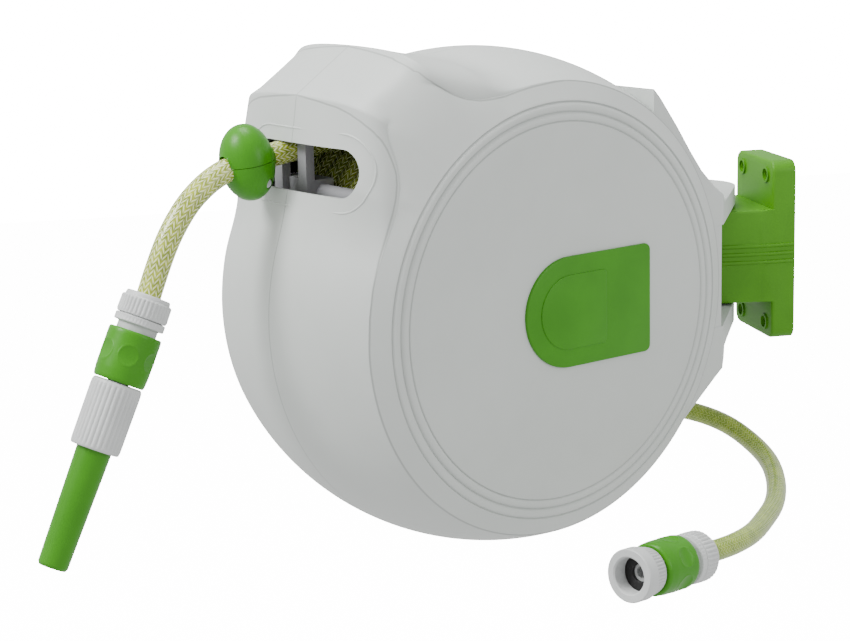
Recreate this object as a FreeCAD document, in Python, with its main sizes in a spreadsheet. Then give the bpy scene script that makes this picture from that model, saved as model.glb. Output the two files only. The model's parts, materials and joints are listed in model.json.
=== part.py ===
import FreeCAD, Part
import math
import os
import Sketcher

# Wall-mounted garden hose reel with automatic rewind.  World frame: the wall is the plane Y = 0,
# +Z is up and the reel stands out towards -Y.  The housing and all that it carries are drawn in the
# housing's own frame: spool axis along X through its origin, hose outlet towards -Y.

V = FreeCAD.Vector
doc = FreeCAD.newDocument("HoseReel")

SIZES = {
    # wall bracket and swivel
    "plate_w": 80, "plate_hgt": 144, "plate_thk": 19, "arm_hgt": 75, "arm_drop": 3.5, "arm_r": 34,
    "bolt_dx": 50, "bolt_dz": 120, "bolt_r": 3.2, "pin_gap": 73, "pin_r": 6, "pin_fit": 0.05,
    "rest_swivel": 24.24, "pin_back": 225, "pin_lift": 5,
    # housing shells
    "drum_r": 183.5, "rim_arc": 232, "crease_x": 92, "crease_r": 164.5, "disc_x": 101, "disc_r": 136.5,
    "ring_a": 150, "ring_a_x": 99.6, "ring_b": 143, "wall": 3, "groove_w": 1.2, "snout_half": 86,
    "snout_round": 12, "window_half": 73, "window_far": 46, "window_hgt": 33, "window_z": 112, "lug_r": 35,
    "lug_top": 58, "lug_gap_top": 41, "lug_gap_low": -38, "lug_low": -57, "block_half": 89,
    "block_back": 172, "boss_at": 158, "boss_r": 6, "screw_r": 2, "hub_r": 20,
    # spool and water path
    "axle_r": 12, "axle_bore": 6, "axle_half": 96, "run_fit": 0.05, "core_r": 103, "core_wall": 3,
    "spool_half": 71, "flange_r": 150.5, "flange_thk": 4, "web_thk": 6, "hose_od": 17, "hose_turns": 8,
    "hose_layers": 3, "layer_rise": 14.8, "turn_pitch": 17.5, "feed_od": 11, "feed_x": 82.9,
    "feed_y": 97, "feed_z": -123.5, "port_x": -20, "port_back": 148,
    "spring_w": 50, "spring_x": 9, "strip_thk": 1.2, "spring_in": 25, "spring_grow": 6, "spring_turns": 11,
    # level wind
    "gear_mod": 2, "drive_teeth": 60, "idler_teeth": 46, "screw_teeth": 12, "gear_thk": 4, "gear_x": 76,
    "screw_y": -135, "screw_z": 91, "screw_rod_r": 6, "screw_half": 79, "rod_y": -128, "rod_z": 150,
    "rod_r": 4, "rod_half": 80, "bar_gap": 20, "bar_w": 10,
    # ratchet
    "ratchet_r": 55, "ratchet_teeth": 24, "ratchet_thk": 6, "tooth_depth": 5,
    # hose stop, delivery fittings and nozzle
    "hose_x": -18, "stop_long": 27, "stop_wide": 20.5, "stop_deep": 18.5, "nut_r": 17.8, "collar_r": 18.2,
    "collar_len": 34, "sleeve_r": 17.6, "sleeve_len": 48, "barrel_r": 12.6, "tip_r": 10.5,
    "barrel_len": 84, "jet_bore": 3,
    # inlet hose and tap fitting
    "inlet_od": 15, "tap_thread_r": 12.05, "tap_depth": 14,
    # badge
    "badge_r": 40.3, "badge_back": 83, "badge_thk": 2.2, "badge_step": 1.2,
}
sheet = doc.addObject("Spreadsheet::Sheet", "Sizes")
for row, (alias, value) in enumerate(SIZES.items(), start=1):
    sheet.set("A%d" % row, alias)
    sheet.set("B%d" % row, str(value))
    sheet.setAlias("B%d" % row, alias)
doc.recompute()
parts = []


def bind(text):
    """Size expression that other objects can use: every alias gets the sheet's name."""
    words, out = "", ""
    for char in text + " ":
        if char.isalnum() or char == "_":
            words += char
            continue
        out += ("Sizes." + words if words in SIZES else words) + char
        words = ""
    return out.strip()


def num(text):
    """Number that a size expression stands for."""
    if not isinstance(text, str):
        return float(text)
    value = sheet.evalExpression(bind(text))
    return float(getattr(value, "Value", value))


def point(*words):
    return V(*[num(w) for w in words])


ABOUT_Z = FreeCAD.Rotation(V(0, 0, 1), num("rest_swivel"))
PIN_IN_HOUSING = point(0, "pin_back", "pin_lift")
HOUSING = FreeCAD.Placement(V(0, -num("pin_gap"), 0), ABOUT_Z).multiply(
    FreeCAD.Placement(PIN_IN_HOUSING.negative(), FreeCAD.Rotation()))
WORLD = FreeCAD.Placement()


def turned(at, axis, spin=0.0):
    """Placement whose own Z lies along axis, turned by spin degrees about it first."""
    aim = FreeCAD.Rotation(V(0, 0, 1), V(*axis))
    return FreeCAD.Placement(at, aim.multiply(FreeCAD.Rotation(V(0, 0, 1), spin)))


def along_x(at=V(0, 0, 0), angle=0.0):
    """Placement that keeps X and turns by angle degrees about it."""
    return FreeCAD.Placement(at, FreeCAD.Rotation(V(1, 0, 0), angle))


def keep(thing, label, group=HOUSING):
    """Make an object a sub-part: name it and stand it in its group's frame."""
    thing.Label = label
    thing.Placement = group.multiply(thing.Placement)
    parts.append(thing)
    return thing


# ---- drawing helpers: sketches whose every corner follows the sheet --------------------------------
def new_body(name):
    return doc.addObject("PartDesign::Body", name)


def plane_sketch(body, plane, lift="0"):
    sk = body.newObject("Sketcher::SketchObject", body.Name + "_sketch")
    face = [f for f in body.Origin.OriginFeatures if f.Role == plane + "_Plane"][0]
    sk.AttachmentSupport = (face, [""])
    sk.MapMode = "FlatFace"
    sk.setExpression("AttachmentOffset.Base.z", bind(lift))
    return sk


def pin_down(sk, geo, end, ex, ey):
    """Fix one point of a sketch at a pair of size expressions."""
    for kind, text, axis in (("DistanceX", ex, -2), ("DistanceY", ey, -1)):
        if abs(num(text)) < 1e-9:
            sk.addConstraint(Sketcher.Constraint("PointOnObject", geo, end, axis))
            continue
        spot = sk.addConstraint(Sketcher.Constraint(kind, -1, 1, geo, end, num(text)))
        if isinstance(text, str):
            sk.setExpression("Constraints[%d]" % spot, bind(text))


def outline(sk, corners, arcs=None):
    """Closed outline through the corners.  arcs: {edge number: (radius, side)}, side +1 bulges left."""
    arcs = arcs or {}
    spots = [V(num(a), num(b), 0) for a, b in corners]
    ends = []
    for i, here in enumerate(spots):
        there = spots[(i + 1) % len(spots)]
        if i not in arcs:
            geo = sk.addGeometry(Part.LineSegment(here, there), False)
            ends.append((geo, 1, 2))
            continue
        radius, side = arcs[i]
        chord = there - here
        normal = V(-chord.y, chord.x, 0).normalize()
        sag = num(radius) - math.sqrt(max(num(radius) ** 2 - chord.Length ** 2 / 4, 0))
        middle = (here + there) * 0.5 + normal * (sag * side)
        geo = sk.addGeometry(Part.Arc(here, middle, there), False)
        first = 1 if sk.getPoint(geo, 1).distanceToPoint(here) < 1e-4 else 2
        ends.append((geo, first, 3 - first))
        if sag > 0.999 * num(radius):
            sk.addConstraint(Sketcher.Constraint("Symmetric", geo, 1, geo, 2, geo, 3))
            continue
        spot = sk.addConstraint(Sketcher.Constraint("Radius", geo, num(radius)))
        if isinstance(radius, str):
            sk.setExpression("Constraints[%d]" % spot, bind(radius))
    for i, (geo, first, last) in enumerate(ends):
        after = ends[(i + 1) % len(ends)]
        sk.addConstraint(Sketcher.Constraint("Coincident", geo, last, after[0], after[1]))
        pin_down(sk, geo, first, *corners[i])
    return sk


def ring(sk, ex, ey, radius):
    geo = sk.addGeometry(Part.Circle(V(num(ex), num(ey), 0), V(0, 0, 1), num(radius)), False)
    pin_down(sk, geo, 3, ex, ey)
    spot = sk.addConstraint(Sketcher.Constraint("Radius", geo, num(radius)))
    if isinstance(radius, str):
        sk.setExpression("Constraints[%d]" % spot, bind(radius))
    return sk


def feature(body, kind, sk, length=None, back=False, both=False):
    """Pad, Pocket, Revolution or Groove; a cut that removes nothing, or a pad that adds nothing, is an error."""
    doc.recompute()
    before = body.Shape.Volume if body.Tip else 0.0
    made = body.newObject("PartDesign::" + kind, body.Name + "_" + kind)
    made.Profile = sk
    if kind in ("Pad", "Pocket"):
        made.setExpression("Length", bind(length))
        made.Midplane = both
        made.Reversed = back
    else:
        made.ReferenceAxis = (sk, ["H_Axis"])
        made.Angle = 360
    doc.recompute()
    grown = body.Shape.Volume - before
    if (kind in ("Pad", "Revolution")) != (grown > 0) or abs(grown) < 1e-6:
        raise RuntimeError("%s of %s changed the volume by %.3f" % (kind, body.Name, grown))
    return made


def around(body, source, count, axis_sketch):
    """Polar pattern of one feature, count bound to the sheet."""
    made = body.newObject("PartDesign::PolarPattern", body.Name + "_pattern")
    made.Originals = [source]
    made.Axis = (axis_sketch, ["N_Axis"])
    made.Angle = 360
    made.setExpression("Occurrences", bind(count))
    body.Tip = made
    doc.recompute()
    return made


def rounded(body, tip, radius, picks):
    """Fillet on the edges whose middle satisfies picks."""
    made = body.newObject("PartDesign::Fillet", body.Name + "_fillet")
    names = []
    for i, edge in enumerate(tip.Shape.Edges, start=1):
        if picks(edge.valueAt((edge.FirstParameter + edge.LastParameter) / 2), edge):
            names.append("Edge%d" % i)
    made.Base = (tip, names)
    made.setExpression("Radius", bind(radius))
    doc.recompute()
    return made


# ---- primitives and booleans -----------------------------------------------------------------------
def cylinder(radius, length, at, axis):
    made = doc.addObject("Part::Cylinder", "rod")
    made.setExpression("Radius", bind(str(radius)))
    made.setExpression("Height", bind(str(length)))
    made.Placement = turned(at, axis)
    return made


def torus(big, small, at, axis):
    made = doc.addObject("Part::Torus", "toroid")
    made.setExpression("Radius1", bind(str(big)))
    made.setExpression("Radius2", bind(str(small)))
    made.Placement = turned(at, axis)
    return made


def brick(sx, sy, sz, at):
    made = doc.addObject("Part::Box", "brick")
    for axis, size in (("Length", sx), ("Width", sy), ("Height", sz)):
        made.setExpression(axis, bind(str(size)))
    made.Placement = FreeCAD.Placement(at, FreeCAD.Rotation())
    return made


def joined(*things):
    made = doc.addObject("Part::MultiFuse", "joined")
    made.Shapes = list(things)
    return made


def cut(base, *tools):
    made = doc.addObject("Part::Cut", "cut")
    made.Base = base
    made.Tool = tools[0] if len(tools) == 1 else joined(*tools)
    return made


def turned_piece(label, steps, at, axis, group=HOUSING):
    """Revolved piece: steps is its closed half section as (distance along the axis, radius) pairs."""
    body = new_body("turned")
    feature(body, "Revolution", outline(plane_sketch(body, "XY"), steps))
    body.Placement = FreeCAD.Placement(at, FreeCAD.Rotation(V(1, 0, 0), V(*axis)))
    return keep(body, label, group) if label else body


# ---- wall bracket: one glass-filled nylon moulding, slab against the wall and a deep arm ------------
def wall_bracket():
    body = new_body("bracket")
    arm_top, arm_low = "arm_hgt / 2 - arm_drop", "-arm_hgt / 2 - arm_drop"
    slab = outline(plane_sketch(body, "XZ"), [
        ("-plate_w / 2", "-plate_hgt / 2"), ("plate_w / 2", "-plate_hgt / 2"),
        ("plate_w / 2", "plate_hgt / 2"), ("-plate_w / 2", "plate_hgt / 2")])
    tip = feature(body, "Pad", slab, "plate_thk")
    corner = num("plate_w") / 2 - 1
    tip = rounded(body, tip, "9", lambda p, e: abs(p.x) > corner and abs(abs(p.z) - num("plate_hgt") / 2) < 1)
    arm = outline(plane_sketch(body, "XY", arm_low), [
        ("-plate_w / 2", "-2"), ("-plate_w / 2", "20 - pin_gap"), ("-arm_r", "-pin_gap"),
        ("arm_r", "-pin_gap"), ("plate_w / 2", "20 - pin_gap"), ("plate_w / 2", "-2")],
        {2: ("arm_r", -1)})
    feature(body, "Pad", arm, "arm_hgt")
    bore = ring(plane_sketch(body, "XY", arm_low), "0", "-pin_gap", "pin_r")
    feature(body, "Pocket", bore, "arm_hgt", back=True)
    hollow_top = "arm_hgt / 2 - arm_drop - 5"
    hollow_low = "5 - arm_hgt / 2 - arm_drop"
    for side in (-1, 1):
        inner, outer = "%d * 3" % side, "%d * (plate_w / 2 - 5)" % side
        cell = outline(plane_sketch(body, "XZ"), [
            (inner, hollow_low), (outer, hollow_low), (outer, hollow_top), (inner, hollow_top)])
        feature(body, "Pocket", cell, "pin_gap - 24", back=True)
    for sx in (-1, 1):
        for sz in (-1, 1):
            at = ("%d * bolt_dx / 2" % sx, "%d * bolt_dz / 2" % sz)
            feature(body, "Pad", ring(plane_sketch(body, "XZ", "plate_thk"), *at, "7"), "1.2")
            feature(body, "Pocket", ring(plane_sketch(body, "XZ"), *at, "bolt_r"), "plate_thk + 2", back=True)
    for level in (-8, 0):
        for side in (-1, 1):
            bead = "%d - arm_drop + 6" % level
            spot = outline(plane_sketch(body, "XZ", "1"), [
                ("%d * (plate_w / 2 - 1)" % side, bead), ("%d * (plate_w / 2 + 1)" % side, bead),
                ("%d * (plate_w / 2 + 1)" % side, bead + " + 3"),
                ("%d * (plate_w / 2 - 1)" % side, bead + " + 3")])
            feature(body, "Pad", spot, "pin_gap - 23")
    keep(body, "wall_bracket", WORLD)
    low = num("-pin_lift + lug_low") - 2
    height = num("lug_top - lug_low") + 4
    shank = cylinder("pin_r", "lug_top - lug_low + 3", V(0, -num("pin_gap"), low + 1), (0, 0, 1))
    head = cylinder("pin_r + 4", 3, V(0, -num("pin_gap"), low + height), (0, 0, 1))
    keep(joined(shank, head), "pivot_pin", WORLD)
    clip = turned_piece(None, [("0", "pin_r - 1.4"), ("1.2", "pin_r - 1.4"), ("1.2", "pin_r + 3"),
                               ("0", "pin_r + 3")], V(0, -num("pin_gap"), low - 1), (0, 0, 1), WORLD)
    stub = cylinder("pin_r - 1.4", 3.5, V(0, -num("pin_gap"), low - 2.5), (0, 0, 1))
    parts[-1].Shapes = parts[-1].Shapes + [stub]
    keep(clip, "pin_clip", WORLD)


# ---- housing: two moulded shells that meet on the spool's middle plane ------------------------------
BOSS_ANGLES = (78, 112, 150, 210, 244, 280, 316, 350)


def on_rim(angle, radius):
    """Point in the YZ plane; angle runs from the front (-Y) over the top."""
    return V(0, -radius * math.cos(math.radians(angle)), radius * math.sin(math.radians(angle)))


def housing_shell(label, side):
    body = new_body(label)
    flip = side < 0
    x = lambda text: ("-(%s)" % text) if flip else text
    snout = outline(plane_sketch(body, "YZ"), [
        ("-28", "174"), ("-107", "192"), ("-153.5", "161"), ("-165.5", "80"), ("-110", "50"), ("-20", "110")])
    tip = feature(body, "Pad", snout, "snout_half", back=flip)
    end_x = num("snout_half")
    rim_top = lambda p, e: abs(abs(p.x) - end_x) < 0.1 and (p.y < -150 or p.z > 165)
    tip = rounded(body, tip, "snout_round", rim_top)
    drum = outline(plane_sketch(body, "XY"), [
        ("0", "0"), (x("disc_x"), "0"), (x("disc_x"), "disc_r"), (x("disc_x - groove_w"), "disc_r + 0.6"),
        (x("disc_x - 0.5"), "ring_b - 0.8"), (x("disc_x - 0.6 - groove_w"), "ring_b"),
        (x("disc_x - 0.8"), "ring_b + 0.8"), (x("ring_a_x"), "ring_a - 0.8"),
        (x("ring_a_x - groove_w"), "ring_a"), (x("ring_a_x - 0.4"), "ring_a + 0.8"),
        (x("crease_x"), "crease_r"), ("0", "drum_r")],
        {10: ("rim_arc", 1 if flip else -1)})
    feature(body, "Revolution", drum)
    block = outline(plane_sketch(body, "XY", "lug_low"), [
        ("0", "100"), (x("block_half - 19"), "100"), (x("block_half - 19"), "block_back"),
        (x("block_half - 34"), "block_back + 12"), ("0", "block_back + 12")])
    feature(body, "Pad", block, "lug_top - lug_low")
    reach = math.hypot(num("block_half"), num("pin_back - block_back"))
    lean = math.degrees(math.acos(num("lug_r") / reach) - math.atan2(num("pin_back - block_back"), num("block_half")))
    touch = V(num("lug_r") * math.cos(math.radians(lean)), num("lug_r") * math.sin(math.radians(lean)))
    for low, high in (("lug_gap_top", "lug_top"), ("lug_low", "lug_gap_low")):
        lug = outline(plane_sketch(body, "XY", low), [
            ("0", "150"), (x("block_half"), "150"), (x("block_half"), "block_back"),
            (side * touch.x, "pin_back + %.4f" % touch.y), ("0", "pin_back + lug_r")],
            {3: ("lug_r", 1 if flip else -1)})
        feature(body, "Pad", lug, "%s - (%s)" % (high, low))
    inside = outline(plane_sketch(body, "XY"), [
        ("0", "0"), (x("disc_x - wall"), "0"), (x("disc_x - wall"), "disc_r + 6"),
        (x("crease_x - wall + 0.5"), "crease_r - wall"), ("0", "drum_r - wall")],
        {3: ("rim_arc - wall", 1 if flip else -1)})
    feature(body, "Groove", inside)
    # The snout's hollow is stepped near its side wall, so that the rounded edge keeps its thickness.
    for inset, depth in (("wall", "snout_half - snout_round + 2"), ("(wall + 5)", "snout_half - wall")):
        cavity = outline(plane_sketch(body, "YZ"), [
            ("-32", "174 - " + inset), ("-106.4", "192 - %s * 1.12" % inset),
            ("-153.5 + %s * 0.9" % inset, "161 - %s * 0.6" % inset), ("-165.5 + " + inset, "80"),
            ("-110", "50"), ("-20", "110")])
        feature(body, "Pocket", cavity, depth, back=not flip)
    reach_x = x("window_far - window_hgt / 2" if flip else "window_half - window_hgt / 2")
    window = outline(plane_sketch(body, "XZ", "100"), [
        ("0", "window_z - window_hgt / 2"), (reach_x, "window_z - window_hgt / 2"),
        (reach_x, "window_z + window_hgt / 2"), ("0", "window_z + window_hgt / 2")],
        {1: ("window_hgt / 2", 1 if flip else -1)})
    feature(body, "Pocket", window, "90", back=True)
    hub = ring(plane_sketch(body, "YZ", x("disc_x - wall - 9.5")), "0", "0", "hub_r")
    feature(body, "Pad", hub, "10", back=flip)
    seat = ring(plane_sketch(body, "YZ", x("disc_x - wall - 9.5")), "0", "0", "axle_r")
    feature(body, "Pocket", seat, "axle_half - disc_x + wall + 9.5", back=not flip)
    for angle in BOSS_ANGLES:
        spot = on_rim(angle, 1.0)
        at = ("%.6f * boss_at" % spot.y, "%.6f * boss_at" % spot.z)
        feature(body, "Pad", ring(plane_sketch(body, "YZ"), *at, "boss_r"), "crease_x + 2", back=flip)
        if flip:
            feature(body, "Pocket", ring(plane_sketch(body, "YZ"), *at, "screw_r + 0.3"), "disc_x", back=False)
            feature(body, "Pocket", ring(plane_sketch(body, "YZ", "-crease_x + 6"), *at, "screw_r + 2.6"),
                    "20", back=False)
        else:
            feature(body, "Pocket", ring(plane_sketch(body, "YZ"), *at, "screw_r"), "28", back=True)
    pin = ring(plane_sketch(body, "XY", "lug_low"), "0", "pin_back", "pin_r + pin_fit")
    feature(body, "Pocket", pin, "lug_top - lug_low", back=True)
    if flip:
        port_boss = ring(plane_sketch(body, "XZ", "-port_back"), "port_x", "feed_z", "feed_od / 2 + 10")
        feature(body, "Pad", port_boss, "30")
        port = ring(plane_sketch(body, "XZ", "-port_back"), "port_x", "feed_z", "feed_od / 2")
        feature(body, "Pocket", port, "30", back=True)
    keep(body, label)


def shell_screws():
    pieces = []
    for angle in BOSS_ANGLES:
        spot = on_rim(angle, num("boss_at"))
        shank = cylinder("screw_r", "crease_x + 12", V(-num("crease_x") + 5.5, spot.y, spot.z), (1, 0, 0))
        head = cylinder("screw_r + 2.2", 3, V(-num("crease_x") + 2.8, spot.y, spot.z), (1, 0, 0))
        socket = cylinder(1.4, 1.6, V(-num("crease_x") + 2.6, spot.y, spot.z), (1, 0, 0))
        pieces.append(cut(joined(shank, head), socket))
    keep(joined(*pieces), "shell_screws")


def side_badge():
    body = new_body("badge")
    half = num("badge_r")
    plate = outline(plane_sketch(body, "YZ", "disc_x"), [
        ("5", "badge_r"), ("5", "-badge_r"), ("badge_back", "-badge_r"), ("badge_back", "badge_r")],
        {0: ("badge_r", -1)})
    tip = feature(body, "Pad", plate, "badge_thk")
    rounded(body, tip, "4", lambda p, e: p.y > num("badge_back") - 1 and abs(abs(p.z) - half) < 1)
    step = outline(plane_sketch(body, "YZ", "disc_x + badge_thk"), [
        ("6.5", "badge_r - 13.3"), ("6.5", "13.3 - badge_r"), ("badge_back - 43.4", "13.3 - badge_r"),
        ("badge_back - 43.4", "badge_r - 13.3")], {0: ("badge_r - 13.3", -1)})
    feature(body, "Pad", step, "badge_step")
    keep(body, "side_badge")


# ---- spool: core, flanges, wound hose, rewind spring ------------------------------------------------
def spool():
    turned_piece("spool_core", [
        ("-spool_half", "core_r - core_wall"), ("-web_thk / 2", "core_r - core_wall"), ("-web_thk / 2", "axle_r + 8"),
        ("-18", "axle_r + 8"), ("-18", "axle_r + run_fit"), ("6", "axle_r + run_fit"), ("6", "axle_r + 8"),
        ("web_thk / 2", "axle_r + 8"), ("web_thk / 2", "core_r - core_wall"), ("spool_half", "core_r - core_wall"),
        ("spool_half", "core_r"), ("-spool_half", "core_r")], V(0, 0, 0), (1, 0, 0))
    for label, side in (("flange_plain_side", -1), ("flange_gear_side", 1)):
        body = new_body(label)
        start = "spool_half" if side > 0 else "-spool_half - flange_thk"
        disc = ring(ring(plane_sketch(body, "YZ", start), "0", "0", "flange_r"), "0", "0", "40")
        feature(body, "Pad", disc, "flange_thk")
        slot_sketch = ring(plane_sketch(body, "YZ", start), "76", "0", "16")
        slot = feature(body, "Pocket", slot_sketch, "flange_thk", back=True)
        around(body, slot, "6", slot_sketch)
        keep(body, label)
    outer = "core_r + hose_od + (hose_layers - 1) * layer_rise"
    turned_piece("wound_hose", [
        ("-hose_turns * turn_pitch / 2", "core_r"), ("hose_turns * turn_pitch / 2", "core_r"),
        ("hose_turns * turn_pitch / 2", outer), ("-hose_turns * turn_pitch / 2", outer)],
        V(0, 0, 0), (1, 0, 0))
    turned_piece("rotary_coupling", [
        ("-48", "axle_r + run_fit"), ("-44.5", "axle_r + run_fit"), ("-44.5", "axle_r + 3"), ("-41.5", "axle_r + 3"),
        ("-41.5", "axle_r + run_fit"), ("-25.5", "axle_r + run_fit"), ("-25.5", "axle_r + 3"),
        ("-22.5", "axle_r + 3"), ("-22.5", "axle_r + run_fit"), ("-18", "axle_r + run_fit"),
        ("-18", "axle_r + 9"), ("-48", "axle_r + 9")], V(0, 0, 0), (1, 0, 0))
    coupling = parts.pop()
    coupling.Label = "coupling_ring"
    coupling.Placement = WORLD
    stem = cylinder(7, "core_r - core_wall - axle_r - 4.5", V(-33.5, 0, num("axle_r") + 4), (0, 0, 1))
    bore = cylinder(4.5, "core_r", V(-33.5, 0, 0), (0, 0, 1))
    clear = cylinder("axle_r + run_fit", 40, V(-53, 0, 0), (1, 0, 0))
    keep(cut(joined(coupling, stem), bore, clear), "rotary_coupling")
    seals = [torus("axle_r + 1.6", 1.3, V(x, 0, 0), (1, 0, 0)) for x in (-43, -24)]
    keep(joined(*seals), "seal_rings")
    spring_case()


def spring_case():
    spiral = doc.addObject("Part::Spiral", "strip_path")
    spiral.setExpression("Growth", bind("spring_grow"))
    spiral.setExpression("Radius", bind("spring_in"))
    spiral.setExpression("Rotations", bind("spring_turns"))
    section = doc.addObject("Part::Plane", "strip_section")
    section.setExpression("Length", bind("strip_thk"))
    section.setExpression("Width", bind("spring_w"))
    section.Placement = FreeCAD.Placement(point("spring_in", 0, 0), FreeCAD.Rotation(V(1, 0, 0), 90))
    strip = doc.addObject("Part::Sweep", "strip")
    strip.Sections = [section]
    doc.recompute()
    strip.Spine = (spiral, ["Edge%d" % (i + 1) for i in range(len(spiral.Shape.Edges))])
    strip.Solid = True
    strip.Frenet = True
    strip.Placement = turned(point("spring_x", 0, 0), (1, 0, 0))
    keep(strip, "main_spring")
    turned_piece("spring_cover", [
        ("spring_x + spring_w + 1", "axle_r + 10"), ("spring_x + spring_w + 3", "axle_r + 10"),
        ("spring_x + spring_w + 3", "core_r - core_wall"), ("spring_x + spring_w + 1", "core_r - core_wall")],
        V(0, 0, 0), (1, 0, 0))
    turned_piece("spring_arbor", [
        ("spring_x", "axle_r"), ("spring_x + spring_w", "axle_r"),
        ("spring_x + spring_w", "axle_r + 9"), ("spring_x", "axle_r + 9")], V(0, 0, 0), (1, 0, 0))


def water_path():
    outer = cylinder("axle_r", "2 * axle_half", V(-num("axle_half"), 0, 0), (1, 0, 0))
    bore = cylinder("axle_bore", "axle_half - 20", V(-num("axle_half") + 4, 0, 0), (1, 0, 0))
    outlet = cylinder(4.5, 20, V(-33.5, 0, 0), (0, 0, 1))
    feed_x = -num("feed_x")
    entry = cylinder("axle_bore - 1", 20, V(feed_x, 0, 0), (0, 0, -1))
    keep(cut(outer, bore, outlet, entry), "hollow_axle")
    port = point("port_x", "port_back", "feed_z")
    side = point(feed_x, "feed_y", "feed_z")
    route = [V(feed_x, 0, -num("axle_r")), V(feed_x, 0, -45), side, V(port.x, side.y, side.z), port]
    pipe = tube(route, num("feed_od") / 2 - 0.05, [13, 9, 9], "feed_pipe", bore=num("feed_od") / 2 - 1.5)
    pipe.Placement = HOUSING
    turned_piece("inlet_gland", [
        ("0", "3.5"), ("0", "feed_od / 2 + 9"), ("3", "feed_od / 2 + 9"), ("5", "inlet_od / 2 + 5"),
        ("20", "inlet_od / 2 + 3"), ("20", "inlet_od / 2"), ("6", "inlet_od / 2"), ("6", "3.5")], port, (0, 1, 0))


# ---- cords ------------------------------------------------------------------------------------------
def tube(route, radius, bends, label, bore=None):
    """Round tube of straight runs joined by tangent arcs; bends lists each corner's arc radius,
    or None gives every corner the largest arc that its two runs allow."""
    edges, start, length, radii = [], route[0], 0.0, []
    for i in range(1, len(route) - 1):
        before, here, after = route[i - 1], route[i], route[i + 1]
        into, out = (here - before).normalize(), (after - here).normalize()
        half = into.getAngle(out) / 2
        shorter = min(here.distanceToPoint(before), here.distanceToPoint(after))
        arc_r = bends[i - 1] if bends else 0.45 * shorter / math.tan(half)
        back = arc_r * math.tan(half)
        first, last = here - into * back, here + out * back
        middle = here + (out - into).normalize() * (arc_r / math.cos(half) - arc_r)
        edges.append(Part.LineSegment(start, first).toShape())
        edges.append(Part.Arc(first, middle, last).toShape())
        length += start.distanceToPoint(first) + 2 * half * arc_r
        radii.append(arc_r)
        start = last
    edges.append(Part.LineSegment(start, route[-1]).toShape())
    length += start.distanceToPoint(route[-1])
    path = Part.Wire(edges)
    aim = (route[1] - route[0]).normalize()

    def swept(size):
        return path.makePipeShell([Part.Wire([Part.Circle(route[0], aim, size).toShape()])], True, False)

    shape = swept(radius) if bore is None else swept(radius).cut(swept(bore))
    area = math.pi * (radius ** 2 - (bore or 0) ** 2)
    print("%s: length %.1f, radii %s, volume ratio %.4f" % (
        label, length, [round(r) for r in radii], shape.Volume / (area * length)))
    made = doc.addObject("Part::Feature", label)
    made.Shape = shape
    made.Label = label
    parts.append(made)
    return made


# The delivery hose leaves the top of the wound pack, runs through the guide and the window, and
# curves down to the fittings that it carries.
LEAD_ROUTE = [(-94, 127.5), (-130, 122.5), (-165, 118.5), (-204, 112.5), (-230, 96.5), (-247.5, 75),
              (-260, 51), (-268.9, 29.8)]
# The inlet hose leaves the gland at the back, loops out past the gear side and comes forward.
INLET_ROUTE = [(-20, 154, -123.5), (-20, 180, -123.5), (-8, 204, -126), (14, 219, -129), (44, 224, -134),
               (77, 219, -142), (109, 205, -148), (142, 178, -153), (171, 145, -156), (193, 110, -156),
               (209, 84, -155), (221, 58, -153), (228.3, 32.6, -151.3), (232.6, 5.5, -149.2)]


def cords():
    hose_x = num("hose_x")
    lead = tube([V(hose_x, y, z) for y, z in LEAD_ROUTE], num("hose_od") / 2, None, "delivery_hose")
    lead.Placement = HOUSING
    feed = tube([V(*p) for p in INLET_ROUTE], num("inlet_od") / 2, None, "inlet_hose")
    feed.Placement = HOUSING


# ---- level wind: gears, reversing screw, guide carriage --------------------------------------------
def gear(label, teeth, at, phase, bore, start="gear_x", thick="gear_thk"):
    body = new_body(label)
    pitch_r = "gear_mod * %s / 2" % teeth
    root = ring(plane_sketch(body, "YZ", start), "0", "0", pitch_r + " - 1.25 * gear_mod")
    ring(root, "0", "0", bore)
    feature(body, "Pad", root, thick)
    half = "gear_mod * 0.62"
    tooth_sketch = outline(plane_sketch(body, "YZ", start), [
        (pitch_r + " - 1.5 * gear_mod", "-(%s) * 1.35" % half), (pitch_r + " + 0.85 * gear_mod", "-(%s) * 0.45" % half),
        (pitch_r + " + 0.85 * gear_mod", "(%s) * 0.45" % half), (pitch_r + " - 1.5 * gear_mod", "(%s) * 1.35" % half)])
    tooth = feature(body, "Pad", tooth_sketch, thick)
    around(body, tooth, teeth, tooth_sketch)
    body.Placement = along_x(at, phase)
    return keep(body, label)


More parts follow.
